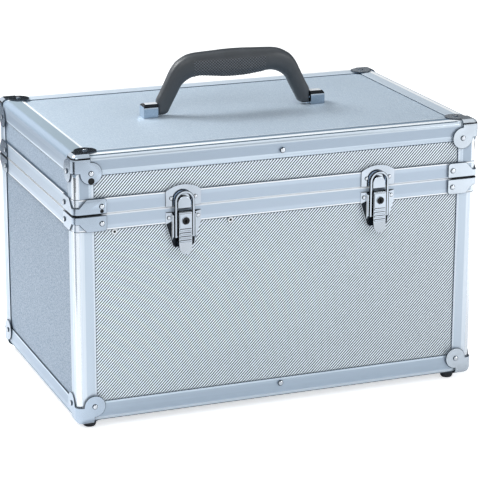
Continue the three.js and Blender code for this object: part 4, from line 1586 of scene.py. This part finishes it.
@dataclass
class CornerCaps:
    """Pressed caps over the eight corners, each with a round riveted lobe on its three faces."""

    paints: Paints
    rivets: Rivets
    thickness: float = 1.2 * MM
    leg: float = 17 * MM
    lobe_centre: float = 17 * MM
    lobe_radius: float = 11 * MM
    fold: float = 8 * MM
    inside_radius: float = 5.2 * MM
    edge: float = 0.55 * MM
    border_turn: float = 0.96
    bend: Point = (0.3, 0.5)
    drilled: dict[str, Point] = field(default_factory=lambda: {"top_cap_front_left": (7.4 * MM, 3.2 * MM)})
    lobe_steps: int = 40
    round_steps: int = 6

    def rounded_box(self, name: str, corner: float, radius: float) -> Piece:
        """A large box with one rounded corner.

        Args:
            name: Its name.
            corner: The corner's depth from the three faces.
            radius: The corner's rounding.

        Returns:
            The box.
        """
        far = corner + 2 * (self.lobe_centre + self.lobe_radius)
        box = block(name, (corner,) * 3, (far,) * 3)
        return eased(box, radius, self.round_steps, 30.0)

    def pattern(self) -> Piece:
        """One cap in depths from the three outer faces.

        Returns:
            The cap.
        """
        outside, leg = -(self.thickness + FILM), self.leg
        span = (outside, self.fold)
        square = [(outside, outside), (leg, outside), (leg, leg), (outside, leg)]
        round_lobe = circle((self.lobe_centre,) * 2, self.lobe_radius, self.lobe_steps)
        cap = None
        for axis in Axis:
            lobe = slab("lobe", round_lobe, axis, span)
            plate = combined(slab("leg", square, axis, span), lobe, "UNION")
            cap = plate if cap is None else combined(cap, plate, "UNION")
        outer = self.rounded_box("outer", outside, self.inside_radius + self.thickness)
        inner = self.rounded_box("inner", -FILM, self.inside_radius)
        cap = combined(combined(cap, outer, "INTERSECT"), inner, "DIFFERENCE")
        eased(cleaned(cap), self.edge, 2, 50.0)
        painted(shaded(cap, 40.0), self.paints.corner, self.paints.painted_edge_shade, self.paints.dark)
        return assigned(cap, self.on_border)

    def on_border(self, face: Face) -> int:
        """1 for a face on the cut border of the sheet, which takes a painted shade outline, else 0.

        Args:
            face: The face.

        Returns:
            The material's number.
        """
        (_, near), (middle, _), (far, along) = sorted(zip(face.center, map(abs, face.normal)))
        if middle > self.inside_radius:
            return int(near < self.border_turn)
        return int(far > self.inside_radius and along > 1 - self.border_turn)

    def on_bend(self, face: Face) -> int:
        """2 for a face on the painted dark reflection line under the bend to the top, else what the face has.
        """
        dark = self.bend[0] < abs(face.normal.z) < self.bend[1] and face.material_index == 0
        return 2 if dark else face.material_index

    def build(self) -> None:
        """Sets the eight caps and their rivets."""
        low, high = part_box("bottom_rails")
        _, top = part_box("lid_top_rails")
        cap = self.pattern()
        out = self.thickness + FILM
        for name, sx, sy in corner_names():
            for level, body, z, sz in (("bottom", "case_body", low.z, 1), ("top", "lid", top.z, -1)):
                corner = Vector((high.x if sx > 0 else low.x, high.y if sy > 0 else low.y, z))
                signs = Vector((-sx, -sy, sz))
                matrix = Matrix.Translation(corner) @ Matrix.Diagonal((*signs, 1))
                node = f"{level}_cap_{name}"
                piece = copied(cap, f"{node}_pressed", matrix)
                if level == "top":
                    assigned(piece, self.on_bend)
                # The right-hand caps take the paler copy of the sheet: painted light.
                if sx > 0:
                    piece.data.materials[0] = self.paints.painted_light_corner
                if node in self.drilled:
                    drop, radius = self.drilled[node]
                    down = self.lobe_centre + drop
                    middle = (corner.x + signs.x * self.lobe_centre, corner.z + signs.z * down)
                    drilled(piece, middle, radius, corner.y - signs.y * out, self.paints.hollow)
                placed(piece, body, Slot.CORNER, node)
                for axis in Axis if level == "top" else (Axis.X, Axis.Y):
                    depth = [self.lobe_centre] * 3
                    depth[axis.value] = -out
                    facing = [0.0, 0.0, 0.0]
                    facing[axis.value] = -signs[axis.value]
                    seat = [corner[i] + signs[i] * depth[i] for i in range(3)]
                    self.rivets.add(f"rivet_{node}_{axis.name.lower()}", body, seat, facing, Slot.CORNER)
        bpy.data.objects.remove(cap)


@dataclass
class CornerBraces:
    """Folded braces beside the parting line, with a chamfered shoulder."""

    paints: Paints
    rivets: Rivets
    thickness: float = 1.2 * MM
    reach: float = 32 * MM
    chamfer_start: float = 12 * MM
    chamfer_end: float = 4.6 * MM
    low_height: float = 8 * MM
    height: float = 16 * MM
    end_radius: float = 3 * MM
    fold: float = 8 * MM
    inside_radius: float = 5.2 * MM
    rivet_across: float = 27 * MM
    rivet_up: float = 8.4 * MM
    edge: float = 0.4 * MM
    border_turn: float = 0.2
    drilled: str = "lid_brace_front_left"
    drill: Point = (4.7 * MM, 1.9 * MM)
    body_start: float = 0.8 * MM
    lid_start: float = 1.2 * MM

    def pattern(self, start: float) -> Piece:
        """One brace in depths from the two upright faces and distance from the parting line.

        Args:
            start: Where it starts beside the parting line.

        Returns:
            The brace.
        """
        outside, inside = -(self.thickness + FILM), -FILM
        r_out, r_in, far = self.inside_radius + self.thickness, self.inside_radius, self.reach
        outer_bend = arc((outside + r_out,) * 2, r_out, 180, 270, 8)
        inner_bend = arc((inside + r_in,) * 2, r_in, 270, 180, 8)
        folded = [*outer_bend, (far, outside), (far, inside), *inner_bend, (inside, far), (outside, far)]
        over, low, r_end = outside - self.fold, self.low_height, self.end_radius
        elevation = [(over, start), (far, start), *arc((far - r_end, self.height - r_end), r_end, 0, 90, 6),
                     (self.chamfer_start, self.height), (self.chamfer_end, low), (over, low)]
        brace = slab("brace", folded, Axis.Z, (start, self.height))
        faces = combined(slab("front", elevation, Axis.Y, (over, self.fold)),
                         slab("side", elevation, Axis.X, (over, self.fold)), "UNION")
        brace = cleaned(combined(brace, faces, "INTERSECT"))
        eased(brace, self.edge, 2, 50.0)
        painted(shaded(brace, 40.0), self.paints.corner, self.paints.painted_edge_shade)
        return assigned(brace, self.on_border)

    def on_border(self, face: Face) -> int:
        """1 for a face on the cut border of the sheet, which takes a painted shade outline, else 0.

        Args:
            face: The face.

        Returns:
            The material's number.
        """
        far = 0 if face.center.x > face.center.y else 1
        end = face.center[far] > 2 * self.inside_radius and abs(face.normal[far]) > self.border_turn
        return int(end or abs(face.normal.z) > self.border_turn)

    def build(self) -> None:
        """Sets the eight braces and their rivets."""
        low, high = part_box("bottom_rails")
        parting, out = parting_height(), self.thickness + FILM
        parts = (("body", "case_body", self.body_start, -1), ("lid", "lid", self.lid_start, 1))
        for part, body, start, sz in parts:
            brace = self.pattern(start)
            for name, sx, sy in corner_names():
                corner = Vector((high.x if sx > 0 else low.x, high.y if sy > 0 else low.y, parting))
                matrix = Matrix.Translation(corner) @ Matrix.Diagonal((-sx, -sy, sz, 1))
                node = f"{part}_brace_{name}"
                piece = copied(brace, f"{node}_folded", matrix)
                # The right-hand braces take the paler copy of the sheet: painted light.
                if sx > 0:
                    piece.data.materials[0] = self.paints.painted_light_corner
                z = parting + sz * self.rivet_up
                if node == self.drilled:
                    middle = (corner.x - sx * self.rivet_across, z - sz * self.drill[0])
                    drilled(piece, middle, self.drill[1], corner.y + sy * out, self.paints.hollow)
                placed(piece, body, Slot.CORNER, node)
                front = (corner.x - sx * self.rivet_across, corner.y + sy * out, z)
                side = (corner.x + sx * out, corner.y - sy * self.rivet_across, z)
                self.rivets.add(f"rivet_{node}_y", body, front, (0, sy, 0), Slot.CORNER)
                self.rivets.add(f"rivet_{node}_x", body, side, (sx, 0, 0), Slot.CORNER)
            bpy.data.objects.remove(brace)


@dataclass
class Feet:
    """Rubber domes under the four lower corners."""

    paints: Paints
    rest: float = 4.4 * MM
    radius: float = 6.9 * MM
    height: float = 7.8 * MM
    steps: int = 40
    shares: tuple[Point, ...] = ((0.77, 0.04), (0.88, 0.16), (0.96, 0.4), (0.99, 0.7), (1.0, 1.0))

    def build(self) -> None:
        """Sets the four feet."""
        profile = [(self.rest, 0.0), *((self.radius * r, self.height * h) for r, h in self.shares)]
        foot = painted(shaded(turned("foot", profile, self.steps), 50.0), self.paints.rubber)
        for name, _, _ in corner_names():
            low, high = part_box(f"foot_{name}")
            middle = (low + high) / 2
            piece = copied(foot, f"foot_{name}_dome", Matrix.Translation((middle.x, middle.y, low.z)))
            placed(piece, "case_body", Slot.RUBBER, f"foot_{name}")
        bpy.data.objects.remove(foot)


@dataclass
class CarryHandle:
    """Moulded grip with a scaled hold underneath, swinging between two chromed brackets."""

    paints: Paints
    half_width: float = 82.4 * MM
    top: float = 63.2 * MM
    underside: float = 36 * MM
    thickness: float = 22 * MM
    leg_thickness: float = 11.6 * MM
    pivot_up: float = 7 * MM
    leg_end_radius: float = 5.8 * MM
    running_gap: float = 0.3 * MM
    pin_radius: float = 2.5 * MM
    pin_reach: float = 9 * MM
    squareness: float = 2.6
    outer_shares: tuple[Point, ...] = (
        (1, 0.02), (1, 0.14), (1, 0.26), (0.95, 0.385), (0.885, 0.555), (0.82, 0.72), (0.757, 0.83),
        (0.69, 0.895), (0.61, 0.945), (0.52, 0.97), (0.4, 0.98), (0.26, 0.988), (0.13, 0.997), (0, 1),
    )
    inner_shares: tuple[Point, ...] = (
        (0.925, 0.035), (0.86, 0.105), (0.825, 0.246), (0.775, 0.456), (0.73, 0.65), (0.695, 0.808),
        (0.65, 0.913), (0.59, 1), (0.53, 1.053), (0.46, 1.08), (0.37, 1.066), (0.25, 1.036),
        (0.13, 1.008), (0, 1),
    )
    swell_from: float = 0.1
    swell_run: float = 0.8
    stations: int = 130
    ring_points: int = 72
    hold: Point = (-46 * MM, 32 * MM)
    hold_fade: float = 3 * MM
    hold_turn: float = 0.235
    hold_turn_fade: float = 0.03
    girth: float = 66 * MM
    scale_pitch: float = 3.1 * MM
    row_share: float = 0.62
    scale_height: float = 0.7 * MM
    round_steps: int = 24
    bracket: Place = (15 * MM, 14 * MM, 14 * MM)
    bracket_top_radius: float = 5 * MM
    bracket_end_radius: float = 3.5 * MM
    bracket_edge: float = 0.5 * MM
    bracket_turn: float = 0.93

    @staticmethod
    def along(shares: Sequence[Point], t: float) -> Point:
        """A smooth curve through a list of shares.

        Args:
            shares: The points.
            t: How far along, from 0 to 1.

        Returns:
            The point.
        """
        run = t * (len(shares) - 1)
        k = min(int(run), len(shares) - 2)
        u = run - k
        a, b, c, d = (shares[min(max(k + step, 0), len(shares) - 1)] for step in (-1, 0, 1, 2))
        weights = (-u + 2 * u**2 - u**3, 2 - 5 * u**2 + 3 * u**3, u + 4 * u**2 - 3 * u**3, u**3 - u**2)
        return tuple(sum(w * p[axis] for w, p in zip(weights, (a, b, c, d))) / 2 for axis in (0, 1))

    def section(self, t: float, side: int, base: float, y: float) -> list[Place]:
        """One rounded section of the grip.

        Args:
            t: How far from a leg's end to the middle.
            side: -1 or 1, the half of the grip.
            base: Height of the top panel.
            y: Middle of the grip.

        Returns:
            The ring's points.
        """
        outer, inner = self.along(self.outer_shares, t), self.along(self.inner_shares, t)
        share = min(max((t - self.swell_from) / self.swell_run, 0), 1)
        swell = share * share * (3 - 2 * share)
        half = (self.leg_thickness + (self.thickness - self.leg_thickness) * swell) / 2
        out = Vector((outer[0] * self.half_width, outer[1] * self.top))
        within = Vector((inner[0] * self.half_width, inner[1] * self.underside))
        middle, reach = (out + within) / 2, (out - within) / 2
        ring = []
        for k in range(self.ring_points):
            angle = 2 * math.pi * k / self.ring_points
            across, off = reach * self.squared(math.cos(angle)), half * self.squared(math.sin(angle))
            relief = self.scale_height * self.relief(side * (middle + across).x, k)
            grow = 1 + relief / math.hypot(across.length, off)
            place = middle + across * grow
            ring.append((side * place.x, y + off * grow, base + place.y))
        return ring

    def squared(self, share: float) -> float:
        """A sine or cosine drawn out towards the corner of a rounded square."""
        return math.copysign(abs(share) ** (2 / self.squareness), share)

    def relief(self, x: float, k: int) -> float:
        """Height of the scaled hold.

        Args:
            x: The place along the grip.
            k: The point's number round its section.

        Returns:
            The height, from 0 to 1.
        """
        turn = k / self.ring_points
        ends = min(max(min(x - self.hold[0], self.hold[1] - x) / self.hold_fade, 0), 1)
        below = min(max((self.hold_turn - abs(turn - 0.5)) / self.hold_turn_fade, 0), 1)
        row = turn * self.girth / (self.scale_pitch * self.row_share)
        shift = 0.5 * (round(row) % 2)
        across = math.cos(math.pi * (row - round(row)))
        along = math.cos(math.pi * ((x / self.scale_pitch + shift) % 1 - 0.5))
        return ends * below * max(across * along, 0)

    def grip(self) -> Piece:
        """Lofts the grip and cuts its leg ends and bores.

        Returns:
            The grip.
        """
        low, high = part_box("handle_grip")
        base, y = high.z - self.top, (low.y + high.y) / 2
        rings = []
        for i in range(2 * self.stations + 1):
            t = 1 - abs(1 - i / self.stations)
            rings.append(self.section(t, 1 if i < self.stations else -1, base, y))
        grip = wrapped("handle_grip_moulded", rings)
        pivot = (y, base + self.pivot_up)
        reach, roof, past = self.thickness, high.z + self.thickness, self.half_width * 1.1
        outer = arc(pivot, self.leg_end_radius, 180, 360, self.round_steps)
        wall = [(y + reach, pivot[1]), (y + reach, roof), (y - reach, roof), (y - reach, pivot[1])]
        combined(grip, slab("leg_ends", outer + wall, Axis.X, (-past, past)), "INTERSECT")
        bore = circle(pivot, self.pin_radius + self.running_gap, self.round_steps)
        for side in (-1, 1):
            ends = span_on(side, self.half_width - self.pin_reach - self.running_gap, past)
            combined(grip, slab("bore", bore, Axis.X, ends), "DIFFERENCE")
        return painted(shaded(grip, 45.0), self.paints.grip)

    def side_bracket(self) -> Piece:
        """A chromed bracket with its inner face at x = 0 and its foot at z = 0.

        Returns:
            The bracket.
        """
        length, depth, height = self.bracket
        y, r, e = depth / 2, self.bracket_top_radius, self.bracket_end_radius
        end = [(-y, 0), (y, 0), *arc((y - r, height - r), r, 0, 90, 12),
               *arc((r - y, height - r), r, 90, 180, 12)]
        side = [(0, 0), (length, 0), *arc((length - e, height - e), e, 0, 90, 10), (0, height)]
        piece = combined(slab("bracket", end, Axis.X, (0, length)),
                         slab("bracket_side", side, Axis.Y, (-y, y)), "INTERSECT")
        eased(cleaned(piece), self.bracket_edge, 3, 30.0)
        shaft = circle((0, self.pivot_up), self.pin_radius, self.round_steps)
        combined(piece, slab("pin", shaft, Axis.X, (-self.pin_reach, length / 2)), "UNION")
        painted(shaded(piece, 40.0), self.paints.cast, self.paints.dark, self.paints.cast_painted_highlight)
        return assigned(piece, self.bracket_face)

    def bracket_face(self, face: Face) -> int:
        """2 for the top of a bracket, in a painted highlight, 1 for its rounded edges, in painted shade, 0 for
        its flat sides.

        Args:
            face: The face.

        Returns:
            The material's number.
        """
        if face.normal.z > self.bracket_turn:
            return 2
        return int(max(map(abs, face.normal)) < self.bracket_turn)

    def build(self) -> None:
        """Builds the handle."""
        placed(self.grip(), "handle", Slot.GRIP, "handle_grip")
        pattern = self.side_bracket()
        for name, side in (("left", -1), ("right", 1)):
            node = f"handle_bracket_{name}"
            low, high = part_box(node)
            inner = side * (self.half_width + self.running_gap)
            seat = (inner, (low.y + high.y) / 2, low.z)
            matrix = Matrix.Translation(seat) @ Matrix.Diagonal((side, 1, 1, 1))
            placed(copied(pattern, f"{node}_cast", matrix), "lid", Slot.CHROME, node)
        bpy.data.objects.remove(pattern)


@dataclass
class DrawLatch:
    """Chromed draw latch: strike with a catch, base, lever, bail and a keyed lock.

    The pieces lie in their own frame: X across, Y to the back from the frame's front face, and
    Z up from the parting line.
    """

    paints: Paints
    rivets: Rivets
    gap: float = 0.3 * MM
    half_width: float = 17.75 * MM
    plate: float = 1.2 * MM
    strike: Place = (0.8 * MM, 16 * MM, 21.8 * MM)
    strike_rivet: Point = (12.2 * MM, 9 * MM)
    catch_half: float = 6.75 * MM
    catch_heights: Point = (-1.1 * MM, 11 * MM)
    catch_out: float = 5 * MM
    catch_round: float = 0.9 * MM
    base_heights: Place = (-4.6 * MM, -16 * MM, -39.7 * MM)
    base_foot_half: float = 11 * MM
    base_foot_chamfer: float = 2 * MM
    base_rivet: Point = (14.6 * MM, -10 * MM)
    rivet_radius: float = 2.1 * MM
    rivet_height: float = 1.3 * MM
    lever_top: float = -2.8 * MM
    lever_tip: float = -45.2 * MM
    lever_half: float = 6.5 * MM
    lever_wall: float = 1.2 * MM
    knuckle: float = 2.8 * MM
    pivot_out: float = 4.4 * MM
    swing: float = 115.0
    tip_out: float = 9.6 * MM
    tip_thickness: float = 1.5 * MM
    pin_radius: float = 1 * MM
    ear: Place = (7.6 * MM, 1.2 * MM, 5 * MM)
    bail_arm: float = 2.75 * MM
    bail_gap: float = 1 * MM
    bail_thickness: float = 2.6 * MM
    bail_pivot: float = -28.5 * MM
    bail_top: float = 16.5 * MM
    bail_round: float = 0.95 * MM
    cheek_height: float = 4.6 * MM
    cheek_chamfer: float = 1.2 * MM
    lock_down: float = -12.5 * MM
    pad_bottom: float = -19.8 * MM
    pad_inset: float = 0.6 * MM
    pad_height: float = 0.7 * MM
    pad_round: float = 0.25 * MM
    head_radius: float = 4.1 * MM
    head_thickness: float = 0.8 * MM
    shank: Point = (3.4 * MM, 4 * MM)
    keyhole: Place = (1.5 * MM, 1.4 * MM, 3.2 * MM)
    keyhole_depth: float = 2.5 * MM
    rib: Point = (0.7 * MM, 1.5 * MM)
    rib_foot: float = 0.8
    rib_round: float = 0.3 * MM
    ribs: int = 4
    thumb_top: float = -34.7 * MM
    edge: float = 0.22 * MM
    lever_edge: float = 0.12 * MM
    smooth_turn: float = 38.0
    steep_turn: float = 0.8
    ridge_turn: float = 0.93
    lock_dark: float = 0.8
    past: float = 2 * MM
    crown_steps: int = 24
    pin_steps: int = 20
    nose_steps: int = 14
    tip_steps: int = 28
    bore_steps: int = 40
    bail_steps: int = 32
    lock_steps: int = 48

    def pin(self, centre: Point, span: Point) -> Piece:
        """A pin that runs across, given its middle to the back and up."""
        return slab("pin", circle(centre, self.pin_radius, self.pin_steps), Axis.X, span)

    def strike_plate(self) -> Piece:
        """The arched plate with the domed catch that the bail hooks over.

        Returns:
            The strike.
        """
        low, shoulder, apex = self.strike
        rise = apex - shoulder
        radius = (self.half_width**2 + rise**2) / (2 * rise)
        spread = math.degrees(math.asin(self.half_width / radius))
        crown = arc((0, apex - radius), radius, 90 - spread, 90 + spread, self.crown_steps)
        outline = [(-self.half_width, low), (self.half_width, low), *crown]
        plate = eased(slab("strike", outline, Axis.Y, (-(FILM + self.plate), -FILM)), self.edge)
        floor, roof = self.catch_heights
        crown = arc((0, roof - self.catch_half), self.catch_half, 0, 180, self.crown_steps)
        outline = [(-self.catch_half, floor), (self.catch_half, floor), *crown]
        catch = slab("catch", outline, Axis.Y, (-self.catch_out, -FILM - self.plate / 2))
        combined(plate, eased(catch, self.catch_round, 4), "UNION")
        return shaded(plate, self.smooth_turn)

    def base_plate(self) -> Piece:
        """The base with its ears, cheeks and pivot pin.

        Returns:
            The base.
        """
        top, waist, bottom = self.base_heights
        front = -(FILM + self.plate)
        foot, chamfer = self.base_foot_half, self.base_foot_chamfer
        half = [(foot - chamfer, bottom), (foot, bottom + chamfer),
                (self.half_width, waist), (self.half_width, top)]
        face = half + [(-x, z) for x, z in reversed(half)]
        piece = eased(slab("base", face, Axis.Y, (front, -FILM)), self.edge)
        pivot = (-self.pivot_out, self.lever_top - self.knuckle)
        radius = self.knuckle - self.lever_wall - self.gap
        past = self.swing - 90
        run = self.pivot_out + front / 2
        rise = (radius - run * math.sin(math.radians(past))) / math.cos(math.radians(past))
        nose = arc(pivot, radius, 90 - past, 270, self.nose_steps)
        ear_gap, ear_thickness, ear_foot = self.ear
        ear = [(front / 2, pivot[1] + rise), *nose, (front / 2, pivot[1] - radius - ear_foot)]
        inner = self.lever_half + self.bail_gap + self.bail_arm + self.bail_gap / 2
        cheek = [(front / 2, top - self.plate), (-self.cheek_height, top - self.plate - self.cheek_chamfer),
                 (-self.cheek_height, self.bail_pivot), (front / 2, self.bail_pivot - self.cheek_height)]
        for side in (-1, 1):
            for outline, start, thickness in ((ear, ear_gap / 2, ear_thickness), (cheek, inner, self.plate)):
                wall = slab("wall", outline, Axis.X, span_on(side, start, start + thickness))
                combined(piece, eased(wall, self.edge), "UNION")
        combined(piece, self.pin(pivot, (-self.lever_half, self.lever_half)), "UNION")
        return shaded(piece, self.smooth_turn)

    def lever(self) -> Piece:
        """The folded lever with its locking pad, finger ribs and thumb tab.

        Returns:
            The lever.
        """
        py, pz = -self.pivot_out, self.lever_top - self.knuckle
        front, tip, end = py - self.knuckle, -self.tip_out, self.bail_pivot - self.knuckle
        side = [*arc((py, pz), self.knuckle, 180, 0, self.pin_steps), (py + self.knuckle - self.gap, end),
                (front + self.tip_thickness, self.thumb_top), (tip + self.tip_thickness, self.lever_tip),
                (tip, self.lever_tip), (front, self.thumb_top)]
        half, past = self.lever_half, self.past
        pad_half, inner, under = half - self.pad_inset, half - self.lever_wall, front + self.lever_wall / 2
        piece = slab("lever", side, Axis.X, (-half, half))
        pad = block("pad", (-pad_half, front - self.pad_height, self.pad_bottom), (pad_half, under, pz))
        combined(piece, eased(pad, self.pad_round), "UNION")
        height, width = self.rib
        foot = width * self.rib_foot
        pitch = (self.pad_bottom - self.thumb_top) / self.ribs
        for k in range(self.ribs):
            z = self.thumb_top + pitch * (k + 0.5)
            lower = [(under, -width), (front, -foot), (front - height, -width / 2)]
            profile = [(y, z + up) for y, up in lower] + [(y, z - up) for y, up in reversed(lower)]
            rib = slab("rib", profile, Axis.X, (-pad_half, pad_half))
            combined(piece, eased(rib, self.rib_round, 3, 20.0), "UNION")
        tip_round = arc((0, self.lever_tip + half), half, 180, 360, self.tip_steps)
        depth = (tip - past, 0.0)
        face = slab("face", [*tip_round, (half, self.lever_top), (-half, self.lever_top)], Axis.Y, depth)
        combined(piece, face, "INTERSECT")
        high = (inner, past, self.lever_top + past)
        hollow = block("hollow", (-inner, front + self.lever_wall, end), high)
        combined(piece, hollow, "DIFFERENCE")
        for z in (pz, self.bail_pivot):
            hole = circle((py, z), self.pin_radius + self.gap, self.pin_steps)
            combined(piece, slab("hole", hole, Axis.X, (-half - past, half + past)), "DIFFERENCE")
        bore = circle((0, self.lock_down), self.shank[0] + self.gap, self.bore_steps)
        combined(piece, slab("bore", bore, Axis.Y, depth), "DIFFERENCE")
        return shaded(eased(cleaned(piece), self.lever_edge, 1, 50.0), self.smooth_turn)

    def bail(self) -> Piece:
        """The bail: a round arch with two arms and pins.

        Returns:
            The bail.
        """
        inside = self.lever_half + self.bail_gap
        outside = inside + self.bail_arm
        crown, end = self.bail_top - outside, self.bail_pivot - self.bail_thickness / 2
        outline = [*arc((0, crown), outside, 0, 180, self.bail_steps), (-outside, end), (-inside, end),
                   *arc((0, crown), inside, 180, 0, self.bail_steps), (inside, end), (outside, end)]
        across = (-self.pivot_out - self.bail_thickness / 2, -self.pivot_out + self.bail_thickness / 2)
        piece = eased(slab("bail", outline, Axis.Y, across), self.bail_round, 4, 30.0)
        for side in (-1, 1):
            span = span_on(side, self.lever_half - self.lever_wall, inside + self.bail_arm / 2)
            combined(piece, self.pin((-self.pivot_out, self.bail_pivot), span), "UNION")
        return shaded(piece, 45.0)

    def lock(self) -> Piece:
        """The turning lock with its keyhole.

        Returns:
            The lock.
        """
        face, z = self.pivot_out + self.knuckle + self.pad_height + FILM, self.lock_down
        (radius, length), head, t = self.shank, self.head_radius, self.head_thickness
        rim = [(head, 0), (head, t * 0.4), (head - t * 0.2, t * 0.8), (head - t * 0.6, t)]
        piece = turned("lock", [(radius, -length), (radius, 0), *rim], self.lock_steps)
        piece.data.transform(Matrix.Translation((0, -face, z)) @ TO_FRONT)
        hole, width, drop = self.keyhole
        depth = (-(face + t + 1 * MM), -(face + t - self.keyhole_depth))
        slot = [(-width / 2, z - drop), (width / 2, z - drop), (width / 2, z), (-width / 2, z)]
        cut = slab("keyhole", circle((0, z), hole, self.crown_steps), Axis.Y, depth)
        combined(cut, slab("key_slot", slot, Axis.Y, depth), "UNION")
        return shaded(combined(piece, cut, "DIFFERENCE"))

    def steep(self, face: Face) -> int:
        """1 for a face that turns away from the front, which takes a painted dark reflection, else 0."""
        return int(abs(face.normal.y) < self.steep_turn)

    def off_ridge(self, face: Face) -> int:
        """1 for a face off the bail's front ridge, which takes a painted dark reflection, else 0."""
        return int(abs(face.normal.y) < self.ridge_turn)

    def shaded_base(self, face: Face) -> int:
        """2 for the outside of a cheek, in a painted highlight, 1 for a level face or one behind the lever, in
        painted shade, else 0.

        Args:
            face: The face.

        Returns:
            The material's number.
        """
        away, behind = abs(face.center.x), self.lever_half + self.bail_gap
        outwards = face.normal.x * face.center.x > 0 and abs(face.normal.x) > self.steep_turn
        if outwards and away > behind + self.bail_arm + self.bail_gap:
            return 2
        return int(away < behind or abs(face.normal.z) > self.steep_turn)

    def dark_lock(self, face: Face) -> int:
        """1 for the lock's face and keyhole, in painted shade, 0 for its bright rim."""
        away = math.hypot(face.center.x, face.center.z - self.lock_down)
        return int(away < self.head_radius * self.lock_dark)

    def build(self) -> None:
        """Builds both latches from one set of patterns."""
        p = self.paints
        # Dark chrome on the latch parts is painted shade and painted dark reflection; the cheeks' outsides take
        # a painted highlight.
        strike = assigned(painted(self.strike_plate(), p.chrome, p.dark), self.steep)
        base = assigned(painted(self.base_plate(), p.chrome, p.dark, p.cast_painted_highlight), self.shaded_base)
        lever = assigned(painted(self.lever(), p.chrome, p.dark), self.steep)
        bail = assigned(painted(self.bail(), p.chrome, p.dark), self.off_ridge)
        lock = assigned(painted(self.lock(), p.zinc, p.hollow), self.dark_lock)
        patterns = {
            "strike": (strike, "lid", Slot.CHROME), "base": (base, "case_body", Slot.CHROME),
            "lever": (lever, None, Slot.CHROME), "bail": (bail, None, Slot.CHROME),
            "lock": (lock, None, Slot.ZINC),
        }
        for name in ("left", "right"):
            low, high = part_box(f"latch_strike_{name}")
            place = Vector(((low.x + high.x) / 2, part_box("body_rim")[0].y, parting_height()))
            for part, (pattern, body, slot) in patterns.items():
                node = f"latch_{part}_{name}"
                piece = copied(pattern, f"{node}_plated", Matrix.Translation(place))
                placed(piece, body or node, slot, node)
            for side, tag in ((-1, "a"), (1, "b")):
                for part, (x, z) in (("strike", self.strike_rivet), ("base", self.base_rivet)):
                    seat = place + Vector((side * x, -(FILM + self.plate), z))
                    self.rivets.add(f"rivet_latch_{part}_{name}_{tag}", patterns[part][1], seat, (0, -1, 0),
                                    Slot.CHROME, self.rivet_radius, self.rivet_height)
        for pattern, _, _ in patterns.values():
            bpy.data.objects.remove(pattern)


@dataclass
class SteelFittings:
    """Piano hinge, its pin and the folding lid stays."""

    paints: Paints
    rivets: Rivets
    edge: float = 0.15 * MM
    screw_radius: float = 2.2 * MM
    screw_height: float = 0.8 * MM
    screws: int = 12
    screw_up: float = 9.5 * MM
    leaf: float = 1.25 * MM

    def dressed(self, node: str, body: str) -> None:
        """Eases a node's edges and smooths its rounds."""
        piece = eased(from_node(node, f"{node}_smooth"), self.edge, 1, 50.0)
        placed(painted(shaded(piece, 45.0), self.paints.zinc), body, Slot.ZINC, node)

    def build(self) -> None:
        """Builds the fittings."""
        self.dressed("hinge_body_leaf", "case_body")
        self.dressed("hinge_lid_leaf", "lid")
        self.dressed("hinge_pin", "case_body")
        for name in ("left", "right"):
            for part in ("lower", "upper"):
                self.dressed(f"stay_{part}_{name}", f"stay_{part}_{name}")
        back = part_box("body_rim")[1].y + self.leaf
        for part, body, sign in (("body", "case_body", -1), ("lid", "lid", 1)):
            low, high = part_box(f"hinge_{part}_leaf")
            for k in range(self.screws):
                x = low.x + (high.x - low.x) * (k + 0.5) / self.screws
                place = (x, back, parting_height() + sign * self.screw_up)
                self.rivets.add(f"hinge_screw_{part}_{k + 1}", body, place, (0, 1, 0), Slot.ZINC,
                                self.screw_radius, self.screw_height)


def main() -> None:
    """Builds the looks of the whole case."""
    logging.basicConfig(level=logging.INFO, format="%(message)s")
    Studio().build()
    paints = Paints()
    EdgeFrame(paints).build()
    Panels(paints).build()
    rivets = Rivets(paints)
    CornerCaps(paints, rivets).build()
    CornerBraces(paints, rivets).build()
    Feet(paints).build()
    CarryHandle(paints).build()
    DrawLatch(paints, rivets).build()
    SteelFittings(paints, rivets).build()
    rivets.build_extra()
    rivets.drop_pattern()
    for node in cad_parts.values():
        if not node.hide_render:
            painted(node, paints.grip if "grip" in node.name else paints.chrome)


if __name__ == "__main__":
    main()
